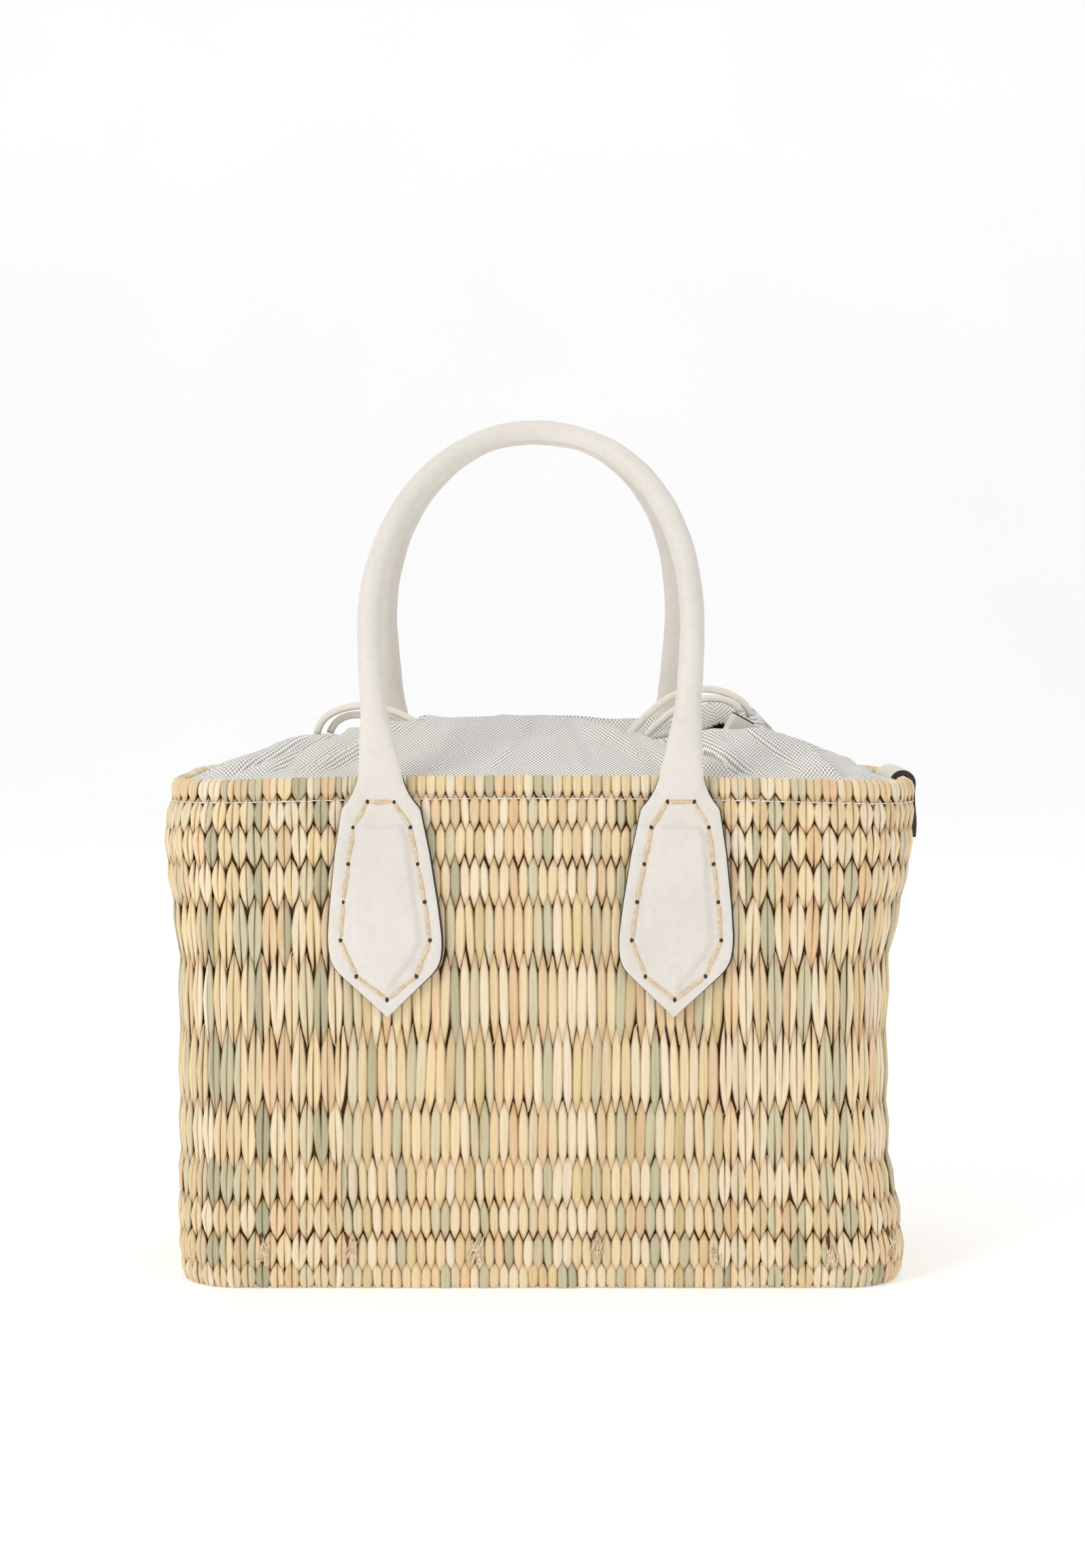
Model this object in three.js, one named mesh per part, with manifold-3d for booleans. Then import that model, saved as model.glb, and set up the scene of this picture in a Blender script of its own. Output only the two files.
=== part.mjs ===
// A straw basket bag: a rectangular basket of flattened straw with a rolled rim, two rolled
// leather handles sewn on by pointed tabs, and a canvas cover drawn up by a leather string.
// Millimetres, +Z up. The origin is on the underside of the base, below the middle of the
// handles. The front faces -Y, and +X is on the right as seen from the front.

import * as THREE from "three";
import { mergeVertices } from "three/addons/utils/BufferGeometryUtils.js";
import Module from "manifold-3d";

const wasm = await Module();
wasm.setup();

// Clearances
const gap = 0.3;              // between pieces that lie on each other

// Basket
const basketHeight = 216;     // underside to the top of the rim, mid front
const basketWidth = 320;      // named width, followed by the row table
const basketDepth = 145;      // over the straw, at the rim
const cornerRadius = 40;      // outer corner at the rim, seen from above
const rowBulge = 1.8;         // how far a row swells beyond its creases
const strawWall = 3;          // wall behind a crease
const floorThickness = 4;
const rimRoll = 7;            // thickness of the rolled edge
const rimDip = 3.4;           // how far the rim's ends lie below its middle

// Handles
const handleSpread = 137;     // between the two legs where they are widest apart
const legSplay = 5.3;         // each neck stands this much nearer the middle
const legStandoff = 0.2;      // the leg's back stands off the back of its tab
const handleTop = 364.2;        // middle of the tube at the top of the arch
const archFullness = 2.27;      // of the arch's right half, where 2 is an ellipse
const handleShoulder = 280;   // where the arch meets the legs
const handleTube = 10.4;      // diameter of the rolled leather
const handleNear = 13;        // between the two handles' tubes at the top, middle to middle
const backHandleRise = 1.5;   // the back handle stands this much taller
const tabTip = 114.6;         // height of the tab's lower point
const tabLength = 101.4;      // tip to the top of the rim
const tabWidth = 48.7;
const tabThickness = 3;
const tabTilt = 3.2;          // the tip lies this much nearer the middle than the neck
const panelRise = 1.2;        // raised padding inside the tab's seam
const tabBevel = 0.5;

// Canvas cover
const clothThickness = 1.2;
const hemDepth = 16;          // sewn hem inside the rim
const coverRise = 22.5;       // top of the gathered cloth above the rim, middle
const mouthLength = 228;      // along the bag
const mouthWidth = 12;        // across, where it is drawn together
const lipDepth = 7;           // casing turned down inside the mouth
const steadyRise = 0.62;      // share of coverRise that the cloth reaches as a low dome
const rimHold = 1.5;          // the cloth leaves the rim this far below its top

// Side tab
const stripWidth = 46;
const stripThickness = 2.3;
const stripOuterDrop = 27;    // below the rim outside
const stripInnerDrop = 12;    // below the rim inside

// Drawstring
const stringDiameter = 2.8;
const sleeveWidth = 10.6;
const sleeveThickness = 5.6;
const sleeveLength = 19;

// Materials
const leather = { color: 0xe6e0d6, roughness: 0.55, metalness: 0 };
const straw = { color: 0xdcc797, roughness: 0.7, metalness: 0 };
const canvas = { color: 0xd9d7d2, roughness: 0.9, metalness: 0 };

// The basket's outline at each crease between two rows, from the base up. Height is a
// share of basketHeight, left and right of half of basketWidth, depth of half of
// basketDepth, corner of cornerRadius.
const creases = [
  { height: 0, left: 0.932, right: 0.986, depth: 0.985, corner: 0.64 },
  { height: 0.041, left: 0.943, right: 1.004, depth: 0.995, corner: 0.66 },
  { height: 0.102, left: 0.951, right: 0.998, depth: 0.995, corner: 0.7 },
  { height: 0.163, left: 0.951, right: 0.988, depth: 0.995, corner: 0.72 },
  { height: 0.241, left: 0.948, right: 0.969, depth: 0.989, corner: 0.74 },
  { height: 0.352, left: 0.95, right: 0.963, depth: 0.993, corner: 0.76 },
  { height: 0.495, left: 0.952, right: 0.963, depth: 1, corner: 0.78 },
  { height: 0.639, left: 0.955, right: 0.972, depth: 1, corner: 0.82 },
  { height: 0.759, left: 0.975, right: 1.008, depth: 1, corner: 0.88 },
  { height: 0.833, left: 0.991, right: 1.031, depth: 1, corner: 0.93 },
  { height: 0.901, left: 0.997, right: 1.04, depth: 1, corner: 0.97 },
  { height: 0.96, left: 0.978, right: 1.042, depth: 1, corner: 1 },
  { height: 1, left: 0.972, right: 1.042, depth: 1, corner: 1 },
];
const rimShare = creases[creases.length - 2].height;

// The gathered mouth, from its left end to its right end. Along is a share of
// half of mouthLength from the middle of the handles, front and back of half of mouthWidth,
// and the two rises are shares of coverRise.
const mouth = [
  { along: -0.98, front: 0.4, back: 0.4, frontRise: 0.25, backRise: 0.22 },
  { along: -0.9, front: 1.1, back: 1.2, frontRise: 0.42, backRise: 0.32 },
  { along: -0.8, front: 1.4, back: 1.8, frontRise: 0.62, backRise: 0.44 },
  { along: -0.73, front: 1.2, back: 1.5, frontRise: 0.61, backRise: 0.58 },
  { along: -0.66, front: 1, back: 1.2, frontRise: 0.69, backRise: 0.68 },
  { along: -0.54, front: 1, back: 1.1, frontRise: 0.83, backRise: 0.8 },
  { along: -0.38, front: 1, back: 1, frontRise: 0.93, backRise: 0.9 },
  { along: -0.14, front: 1, back: 1, frontRise: 0.98, backRise: 0.95 },
  { along: 0.05, front: 1, back: 1, frontRise: 0.97, backRise: 0.97 },
  { along: 0.19, front: 1.1, back: 1, frontRise: 0.94, backRise: 0.95 },
  { along: 0.31, front: 1.5, back: 1, frontRise: 0.72, backRise: 0.9 },
  { along: 0.42, front: 2.4, back: 1, frontRise: 0.6, backRise: 0.9 },
  { along: 0.53, front: 3.5, back: 1.3, frontRise: 0.58, backRise: 0.96 },
  { along: 0.65, front: 4.2, back: 2.3, frontRise: 0.75, backRise: 1.08 },
  { along: 0.74, front: 4.2, back: 2.8, frontRise: 0.77, backRise: 1.28 },
  { along: 0.85, front: 3.4, back: 2.7, frontRise: 0.71, backRise: 1.2 },
  { along: 0.95, front: 1.8, back: 1.6, frontRise: 0.46, backRise: 0.56 },
  { along: 1.02, front: 0.4, back: 0.4, frontRise: 0.3, backRise: 0.3 },
];

// The main folds of the cover, each a line in plan from the rim to the mouth. The ends are
// shares of half of basketWidth and half of basketDepth, rise and fall are shares of
// coverRise, and wide is the fold's width as a share of mouthWidth.
const folds = [
  { rimX: 0.53, rimY: -0.95, mouthX: 0.2, mouthY: -0.12, rise: 0.12, fall: 0.2, wide: 1.3 },
  { rimX: 0.86, rimY: -0.8, mouthX: 0.7, mouthY: -0.2, rise: 0.1, fall: 0.06, wide: 1.5 },
  { rimX: -0.62, rimY: -0.95, mouthX: -0.38, mouthY: -0.12, rise: 0.12, fall: 0.1, wide: 1 },
  { rimX: -0.84, rimY: -0.78, mouthX: -0.56, mouthY: -0.12, rise: 0.13, fall: 0.1, wide: 1 },
  { rimX: -0.95, rimY: -0.4, mouthX: -0.66, mouthY: -0.05, rise: 0.12, fall: 0.08, wide: 1 },
  { rimX: 0.98, rimY: -0.3, mouthX: 0.76, mouthY: -0.1, rise: 0.08, fall: 0.1, wide: 1 },
  { rimX: 0.9, rimY: 0.7, mouthX: 0.72, mouthY: 0.25, rise: 0.1, fall: 0.1, wide: 1.2 },
  { rimX: 0.35, rimY: 0.95, mouthX: 0.3, mouthY: 0.15, rise: 0.12, fall: 0.1, wide: 1.3 },
  { rimX: -0.2, rimY: 0.95, mouthX: -0.1, mouthY: 0.12, rise: 0.12, fall: 0.1, wide: 1.2 },
  { rimX: -0.75, rimY: 0.85, mouthX: -0.5, mouthY: 0.12, rise: 0.12, fall: 0.1, wide: 1.2 },
];

// A tab's outline from its tip up: height as a share of tabLength, width of tabWidth.
const tabOutline = [
  { height: 0.178, width: 0.81 },
  { height: 0.205, width: 0.905 },
  { height: 0.237, width: 0.967 },
  { height: 0.29, width: 0.998 },
  { height: 0.338, width: 1 },
  { height: 0.457, width: 0.953 },
  { height: 0.684, width: 0.828 },
  { height: 0.865, width: 0.688 },
  { height: 0.887, width: 0.595 },
  { height: 0.926, width: 0.49 },
  { height: 0.966, width: 0.422 },
  { height: 1.01, width: 0.376 },
];

// The padded panel inside a tab's seam, in the same shares.
const panelTip = 0.115;
const panelOutline = [
  { height: 0.25, width: 0.46 },
  { height: 0.32, width: 0.6 },
  { height: 0.75, width: 0.42 },
  { height: 0.77, width: 0.37 },
];

// A handle's leg from inside its tab up to the round tube: height as a share of the stretch
// from the rim up to handleShoulder, width and thickness as shares of handleTube.
const neck = [
  { height: -0.17, width: 1.86, thickness: 0.24 },
  { height: -0.06, width: 1.84, thickness: 0.36 },
  { height: 0, width: 1.8, thickness: 0.42 },
  { height: 0.11, width: 1.58, thickness: 0.54 },
  { height: 0.24, width: 1.38, thickness: 0.68 },
  { height: 0.42, width: 1.09, thickness: 0.88 },
  { height: 0.62, width: 1.03, thickness: 0.97 },
  { height: 1, width: 1, thickness: 1 },
];

// The strings' routes: the strand's middle from the mouth to its sleeve, chosen by hand.
const stringRoutes = {
  string_right_upper: [
    [38, -7.9, 224], [43.6, -7, 230], [52.7, -5, 239.6], [63.3, -3, 247.2],
    [76.4, -1.5, 250.2], [86, 0, 248.9], [93, 0.6, 245.6], [97, 0.8, 241.6], [98.4, 0.8, 237.8],
  ],
  string_right_lower: [
    [44, -10.3, 221.1], [49.7, -10, 228.1], [56, -8.6, 234.7], [63.3, -6.5, 240.4],
    [74, -4.5, 245.1], [82, -3.2, 246.1], [88.5, -3, 244.7], [92.2, -3, 242.5], [93.4, -3, 240.1],
  ],
  string_left_upper: [
    [-47, -3.6, 229.4], [-52.4, -2.6, 235.6], [-58, -1, 238.7], [-64, -1, 240.8],
    [-76, 0, 242.6], [-85.8, 1, 240.8], [-92.8, 1.8, 236.6], [-95.6, 2, 231.4], [-95.8, 2, 230],
  ],
  string_left_lower: [
    [-49, 3.7, 226.6], [-54, 3.7, 231.8], [-63.4, 3.8, 236.2], [-75.8, 4, 238.4],
    [-82.4, 4.4, 237.9], [-87.4, 4.8, 235.2], [-90, 5, 231.2], [-90.2, 5, 230.2],
  ],
};

// A sleeve lies under the ends of its two strands. Lean and turn are in degrees.
const sleeves = [
  {
    name: "string_end_right",
    strands: ["string_right_upper", "string_right_lower"],
    lean: 29,
    turn: 20,
  },
  {
    name: "string_end_left",
    strands: ["string_left_upper", "string_left_lower"],
    lean: 4,
    turn: -25,
  },
];

const halfWidth = basketWidth / 2;
const halfDepth = basketDepth / 2;

function lerp(a, b, t) {
  return a + (b - a) * t;
}

function smooth(t) {
  const c = Math.min(Math.max(t, 0), 1);
  return c * c * (3 - 2 * c);
}

// Reads a table at a value of one of its columns, straight between rows.
function readTable(table, key, value) {
  let i = 0;
  while (i < table.length - 2 && table[i + 1][key] < value) {
    i += 1;
  }
  const t = (value - table[i][key]) / (table[i + 1][key] - table[i][key]);
  const share = Math.min(Math.max(t, 0), 1);
  const row = {};
  for (const name of Object.keys(table[0])) {
    row[name] = lerp(table[i][name], table[i + 1][name], share);
  }
  return row;
}

// Closes a stack of rings of equal length into one body. With capped ends the first and
// last ring are closed to their middle, otherwise the last ring joins the first.
function skin(rings, capped) {
  const count = rings[0].length;
  const positions = rings.flat().flatMap((p) => [p.x, p.y, p.z]);
  const index = [];
  const bands = capped ? rings.length - 1 : rings.length;
  for (let r = 0; r < bands; r += 1) {
    const next = (r + 1) % rings.length;
    for (let i = 0; i < count; i += 1) {
      const j = (i + 1) % count;
      const a = r * count + i;
      const b = r * count + j;
      const c = next * count + i;
      const d = next * count + j;
      index.push(a, b, d, a, d, c);
    }
  }
  if (capped) {
    [0, rings.length - 1].forEach((r, end) => {
      const middle = positions.length / 3;
      const sum = rings[r].reduce((s, p) => s.add(p), new THREE.Vector3());
      sum.divideScalar(count);
      positions.push(sum.x, sum.y, sum.z);
      for (let i = 0; i < count; i += 1) {
        const a = r * count + i;
        const b = r * count + ((i + 1) % count);
        index.push(...(end === 0 ? [middle, b, a] : [middle, a, b]));
      }
    });
  }
  const geometry = new THREE.BufferGeometry();
  geometry.setAttribute("position", new THREE.Float32BufferAttribute(positions, 3));
  geometry.setIndex(index);
  return geometry;
}

function toManifold(geometry) {
  const plain = geometry.clone();
  plain.deleteAttribute("normal");
  plain.deleteAttribute("uv");
  const merged = mergeVertices(plain, 1e-4);
  const vertProperties = new Float32Array(merged.attributes.position.array);
  const triVerts = new Uint32Array(merged.index.array);
  return new wasm.Manifold(new wasm.Mesh({ numProp: 3, vertProperties, triVerts }));
}

function fromManifold(solid) {
  const mesh = solid.getMesh();
  const geometry = new THREE.BufferGeometry();
  geometry.setAttribute("position", new THREE.BufferAttribute(mesh.vertProperties, 3));
  geometry.setIndex(new THREE.BufferAttribute(mesh.triVerts, 1));
  return geometry;
}

function join(geometries) {
  return fromManifold(geometries.map(toManifold).reduce((whole, part) => whole.add(part)));
}

function makeMesh(name, geometry, look) {
  const mesh = new THREE.Mesh(geometry, new THREE.MeshStandardMaterial(look));
  mesh.name = name;
  return mesh;
}

// Height of a row at a place along the bag: the rim is arched, the base is flat.
function rowHeight(share, x) {
  return share * basketHeight - rimDip * share ** 3 * (x / halfWidth) ** 2;
}

const cornerSteps = 5;
const longSteps = 8;
const shortSteps = 4;

// The basket's outline at a height share, drawn in by an inset: a rounded rectangle,
// counter-clockwise from above, with as many points at every height.
function outline(share, inset, raise = 0) {
  const row = readTable(creases, "height", share);
  const left = -halfWidth * row.left + inset;
  const right = halfWidth * row.right - inset;
  const depth = halfDepth * row.depth - inset;
  const radius = Math.max(cornerRadius * row.corner - inset, depth * 0.1);
  const corners = [
    { x: right - radius, y: -depth + radius, from: -90, steps: shortSteps },
    { x: right - radius, y: depth - radius, from: 0, steps: longSteps },
    { x: left + radius, y: depth - radius, from: 90, steps: shortSteps },
    { x: left + radius, y: -depth + radius, from: 180, steps: longSteps },
  ];
  const plan = [];
  corners.forEach((corner, k) => {
    for (let i = 0; i <= cornerSteps; i += 1) {
      const angle = THREE.MathUtils.degToRad(corner.from + (90 * i) / cornerSteps);
      const x = corner.x + radius * Math.cos(angle);
      const y = corner.y + radius * Math.sin(angle);
      plan.push(new THREE.Vector2(x, y));
    }
    const next = corners[(k + 1) % corners.length];
    const start = plan[plan.length - 1];
    const turn = THREE.MathUtils.degToRad(next.from);
    const endX = next.x + radius * Math.cos(turn);
    const endY = next.y + radius * Math.sin(turn);
    for (let i = 1; i < corner.steps; i += 1) {
      const t = i / corner.steps;
      plan.push(new THREE.Vector2(lerp(start.x, endX, t), lerp(start.y, endY, t)));
    }
  });
  return plan.map((p) => new THREE.Vector3(p.x, p.y, rowHeight(share, p.x) + raise));
}

// Basket body: out along the base, up the swelling rows, over the top edge and down inside
function basketBody() {
  const rings = [];
  const topShare = rimShare;
  const wall = rowBulge + strawWall;
  rings.push(outline(0, rowBulge));
  for (let k = 0; k < creases.length - 2; k += 1) {
    const low = creases[k].height;
    const high = creases[k + 1].height;
    if (k > 0) {
      rings.push(outline(low, rowBulge));
    }
    rings.push(outline(lerp(low, high, 0.3), 0.25 * rowBulge));
    rings.push(outline(lerp(low, high, 0.7), 0.25 * rowBulge));
  }
  rings.push(outline(topShare, rowBulge));
  rings.push(outline(topShare, wall));
  const floorShare = floorThickness / basketHeight;
  for (const share of [0.85, 0.7, 0.5, 0.3, 0.15, 0.05]) {
    rings.push(outline(lerp(floorShare, topShare, share), wall));
  }
  rings.push(outline(floorShare, wall + floorThickness));
  return makeMesh("basket_body", skin(rings, true), straw);
}

// Rolled rim: a rounded section carried round the top of the basket
function basketRim() {
  const low = rimShare;
  const height = basketHeight * (1 - rimShare) - gap;
  const section = [
    { inset: 0.3, up: 0 },
    { inset: 0.04, up: 0.25 },
    { inset: 0, up: 0.55 },
    { inset: 0.14, up: 0.88 },
    { inset: 0.4, up: 1 },
    { inset: 0.65, up: 1 },
    { inset: 0.93, up: 0.84 },
    { inset: 1, up: 0.5 },
    { inset: 0.9, up: 0 },
  ];
  const rings = section.map((s) => outline(low, s.inset * rimRoll, gap + s.up * height));
  return makeMesh("basket_rim", skin(rings, false), straw);
}

// Canvas cover

// How far the cloth stands further in, where the side tab lies between it and the rim
function tabRoom(x, y) {
  const near = 1 - smooth((Math.abs(y) - stripWidth / 2 - 2) / 8);
  return x > 0 ? (stripThickness + gap) * near : 0;
}

// How much the folds raise the cloth at a point in plan
function foldHeight(x, y) {
  let height = 0;
  for (const fold of folds) {
    const fromX = fold.rimX * halfWidth;
    const fromY = fold.rimY * halfDepth;
    const alongX = fold.mouthX * halfWidth - fromX;
    const alongY = fold.mouthY * halfDepth - fromY;
    const length = Math.hypot(alongX, alongY);
    const t = ((x - fromX) * alongX + (y - fromY) * alongY) / length ** 2;
    const side = ((x - fromX) * alongY - (y - fromY) * alongX) / (length * mouthWidth);
    const reach = smooth(t * 3) * smooth((1.15 - t) * 4);
    const ridge = Math.exp(-((side / fold.wide + 0.35) ** 2) * 4);
    const valley = Math.exp(-((side / fold.wide - 0.45) ** 2) * 6);
    height += coverRise * reach * (fold.rise * ridge - fold.fall * valley);
  }
  return height;
}

// The hem's path inside the rim, as evenly spaced points from the right-hand end round the
// back to the left and along the front
function hemPath(count) {
  const ring = outline(rimShare, rimRoll + gap + clothThickness / 2);
  const start = ring.findIndex((p, i) => i > 0 && p.x > 0 && p.y >= 0 && ring[i - 1].y < 0);
  const points = ring.slice(start).concat(ring.slice(0, start));
  const path = new THREE.CurvePath();
  points.forEach((p, i) => {
    path.add(new THREE.LineCurve3(p, points[(i + 1) % points.length]));
  });
  return path.getSpacedPoints(count).slice(0, count);
}

// The middle of the cloth: rings of points from the hem's lower edge to the inner edge of
// the turned-down lip
function clothRings(count) {
  const hem = hemPath(count).map((p) => ({ x: p.x - tabRoom(p.x, p.y), y: p.y }));
  const halfMouth = mouthLength / 2;
  const endsMiddle = (mouth[0].along + mouth[mouth.length - 1].along) / 2;
  const endsReach = (mouth[mouth.length - 1].along - mouth[0].along) / 2;
  const lips = hem.map((p, i) => {
    const angle = (2 * Math.PI * i) / count;
    const row = readTable(mouth, "along", endsMiddle + endsReach * Math.cos(angle));
    const across = Math.sin(angle) < 0 ? -row.front : row.back;
    const rise = Math.sin(angle) < 0 ? row.frontRise : row.backRise;
    const round = Math.min(1, Math.abs(Math.sin(angle)) * 7);
    return {
      x: row.along * halfMouth,
      y: (across * round * mouthWidth) / 2,
      z: basketHeight + rise * coverRise,
      peak: Math.max(0, rise - steadyRise) * coverRise,
      domed: 0.8 * Math.abs(Math.sin(angle)) ** 3,
    };
  });
  const rims = hem.map((p) => rowHeight(1, p.x));
  const rings = [
    hem.map((p, i) => new THREE.Vector3(p.x, p.y, rims[i] - hemDepth)),
    hem.map((p, i) => new THREE.Vector3(p.x, p.y, rims[i] - hemDepth / 3)),
  ];
  for (const share of [0.04, 0.14, 0.28, 0.42, 0.56, 0.7, 0.83, 0.94, 1]) {
    rings.push(hem.map((p, i) => {
      const lip = lips[i];
      const x = lerp(p.x, lip.x, share);
      const y = lerp(p.y, lip.y, share);
      const dome = lerp(share, Math.sin((Math.PI / 2) * share), lip.domed);
      const drape = lerp(rims[i] - rimHold, lip.z - lip.peak, dome) + lip.peak * share ** 2.5;
      const folded = foldHeight(x, y) * smooth(share * 3) * smooth((1.1 - share) * 3);
      return new THREE.Vector3(x, y, drape + folded);
    }));
  }
  rings.push(lips.map((lip) => new THREE.Vector3(lip.x, lip.y, lip.z - lipDepth)));
  return rings;
}

function canvasCover() {
  const count = 64;
  const rings = clothRings(count);
  const middle = new THREE.BufferGeometry().setFromPoints(rings.flat());
  const index = [];
  for (let r = 0; r < rings.length - 1; r += 1) {
    for (let i = 0; i < count; i += 1) {
      const a = r * count + i;
      const b = r * count + ((i + 1) % count);
      index.push(a, b, b + count, a, b + count, a + count);
    }
  }
  middle.setIndex(index);
  middle.computeVertexNormals();
  const normals = middle.attributes.normal;
  const face = (side) => rings.map((ring, r) => ring.map((p, i) => {
    const n = new THREE.Vector3().fromBufferAttribute(normals, r * count + i);
    return p.clone().addScaledVector(n, (side * clothThickness) / 2);
  }));
  const outside = face(1);
  const inside = face(-1).reverse();
  return makeMesh("canvas_cover", skin(outside.concat(inside), false), canvas);
}

// Handles

const tabBack = halfDepth + gap;
const neckX = handleSpread / 2 - legSplay;

// A flat piece of leather drawn in X and Z and laid against the front, from one depth
// behind it to another before it
function frontPlate(shape, from, to, bevel) {
  const geometry = new THREE.ExtrudeGeometry(shape, {
    depth: to - from - 2 * bevel,
    bevelThickness: bevel,
    bevelSize: bevel,
    bevelOffset: -bevel,
    bevelSegments: 1,
  });
  geometry.translate(0, 0, from + bevel);
  geometry.rotateX(Math.PI / 2);
  return geometry;
}

// A tab's outline on one side of the bag, from rows of height and width
function tabShape(rows, side, lowest) {
  const place = (height, across) => {
    const lean = neckX - tabTilt * (1 - height);
    return new THREE.Vector2(side * lean + across, tabTip + height * tabLength);
  };
  const right = rows.map((row) => place(row.height, (row.width * tabWidth) / 2));
  const left = rows.map((row) => place(row.height, (-row.width * tabWidth) / 2));
  return new THREE.Shape([place(lowest, 0), ...right, ...left.reverse()]);
}

// The handle's tube as rings, from inside the left tab over the arch to the right one. The
// arch is fuller on one side, the bag's right: 1 on the front handle, -1 on the turned back one.
function handleTubeGeometry(top, fullSide) {
  const legHeight = handleShoulder - basketHeight;
  const leanY = tabBack + handleTube / 2 - handleNear / 2;
  const leanOf = (z) => leanY * Math.max(0, (z - basketHeight) / (top - basketHeight)) ** 1.8;
  const stations = [];
  for (const row of neck) {
    const t = Math.max(row.height, 0);
    const x = neckX + legSplay * (1 - (1 - t) ** 1.3) + Math.min(row.height, 0) * tabTilt;
    stations.push({ x: -x, z: basketHeight + row.height * legHeight, ...row });
  }
  const archSteps = 22;
  for (let i = 1; i < archSteps; i += 1) {
    const angle = Math.PI * (1 - i / archSteps);
    const c = Math.cos(angle);
    const bulge = c * fullSide > 0 ? 2 / archFullness : 1;
    const x = (handleSpread / 2) * Math.sign(c) * Math.abs(c) ** bulge;
    const z = handleShoulder + (top - handleShoulder) * Math.sin(angle) ** bulge;
    stations.push({ x, z, height: 1, width: 1, thickness: 1 });
  }
  for (const row of stations.slice(0, neck.length).reverse()) {
    stations.push({ ...row, x: -row.x });
  }
  const middles = stations.map((s) => {
    const y = -tabBack - legStandoff - (s.thickness * handleTube) / 2 + leanOf(s.z);
    return new THREE.Vector3(s.x, y, s.z);
  });
  const sides = 12;
  const rings = stations.map((s, k) => {
    const before = middles[Math.max(k - 1, 0)];
    const after = middles[Math.min(k + 1, middles.length - 1)];
    const along = after.clone().sub(before).normalize();
    const slope = (leanOf(s.z + 0.5) - leanOf(s.z - 0.5)) / 1;
    const out = new THREE.Vector3(0, -1, slope).normalize();
    const across = out.clone().cross(along).normalize();
    const depthwise = along.clone().cross(across);
    const power = lerp(0.55, 1, THREE.MathUtils.clamp(s.thickness / s.width, 0, 1));
    return Array.from({ length: sides }, (_, i) => {
      const angle = (2 * Math.PI * (i + 0.5)) / sides;
      const c = Math.cos(angle);
      const d = Math.sin(angle);
      const w = Math.sign(c) * Math.abs(c) ** power * s.width * (handleTube / 2);
      const t = Math.sign(d) * Math.abs(d) ** power * s.thickness * (handleTube / 2);
      return middles[k].clone().addScaledVector(across, w).addScaledVector(depthwise, t);
    });
  });
  return skin(rings, true);
}

function handleGeometry(top, fullSide) {
  const parts = [handleTubeGeometry(top, fullSide)];
  for (const side of [-1, 1]) {
    const tab = tabShape(tabOutline, side, 0);
    parts.push(frontPlate(tab, tabBack, tabBack + tabThickness, tabBevel));
    const panel = tabShape(panelOutline, side, panelTip);
    const panelFrom = tabBack + tabThickness / 2;
    parts.push(frontPlate(panel, panelFrom, tabBack + tabThickness + panelRise, panelRise * 0.7));
  }
  return join(parts);
}

// Side tab: a strip folded over the rim
function sideTab() {
  const outerX = halfWidth * readTable(creases, "height", rimShare).right;
  const middleX = outerX - rimRoll / 2;
  const innerRadius = rimRoll / 2 + gap;
  const outerRadius = innerRadius + stripThickness;
  const rimTop = basketHeight - rimDip * rimShare ** 3 * (middleX / halfWidth) ** 2;
  const middleZ = rimTop + gap - innerRadius;
  const shape = new THREE.Shape();
  shape.moveTo(middleX + outerRadius, rimTop - stripOuterDrop);
  shape.absarc(middleX, middleZ, outerRadius, 0, Math.PI, false);
  shape.lineTo(middleX - outerRadius, rimTop - stripInnerDrop);
  shape.lineTo(middleX - innerRadius, rimTop - stripInnerDrop);
  shape.absarc(middleX, middleZ, innerRadius, Math.PI, 0, true);
  shape.lineTo(middleX + innerRadius, rimTop - stripOuterDrop);
  const geometry = new THREE.ExtrudeGeometry(shape, {
    depth: stripWidth,
    bevelEnabled: false,
    curveSegments: 8,
  });
  geometry.translate(0, 0, -stripWidth / 2);
  geometry.rotateX(Math.PI / 2);
  return makeMesh("side_tab", geometry, leather);
}

// Drawstring
function stringPath(name) {
  return new THREE.CatmullRomCurve3(stringRoutes[name].map((p) => new THREE.Vector3(...p)));
}

function drawString(name) {
  const section = new THREE.Shape();
  section.absarc(0, 0, stringDiameter / 2, 0, 2 * Math.PI, false);
  const geometry = new THREE.ExtrudeGeometry(section, {
    steps: 16,
    curveSegments: 4,
    bevelEnabled: false,
    extrudePath: stringPath(name),
  });
  return makeMesh(name, geometry, leather);
}

// A flat leather sleeve that leans under its two strands, clear of both their ends
function stringSleeve(sleeve) {
  const lean = THREE.MathUtils.degToRad(sleeve.lean);
  const axis = new THREE.Vector3(-Math.sin(lean), 0, -Math.cos(lean));
  const paths = sleeve.strands.map(stringPath);
  const ends = paths.map((path) => path.getPoint(1));
  const middle = ends[0].clone().add(ends[1]).multiplyScalar(0.5);
  const reach = paths.map((path, i) => {
    const slant = Math.sin(path.getTangent(1).angleTo(axis));
    return ends[i].dot(axis) + (stringDiameter / 2) * slant;
  });
  const lowest = Math.max(...reach) + gap;
  const toMiddle = lowest - middle.dot(axis) + sleeveLength / 2;
  const geometry = new THREE.BoxGeometry(sleeveWidth, sleeveThickness, sleeveLength);
  geometry.rotateZ(THREE.MathUtils.degToRad(sleeve.turn));
  geometry.rotateY(lean);
  const place = middle.addScaledVector(axis, toMiddle);
  geometry.translate(place.x, place.y, place.z);
  return makeMesh(sleeve.name, geometry, leather);
}

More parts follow.
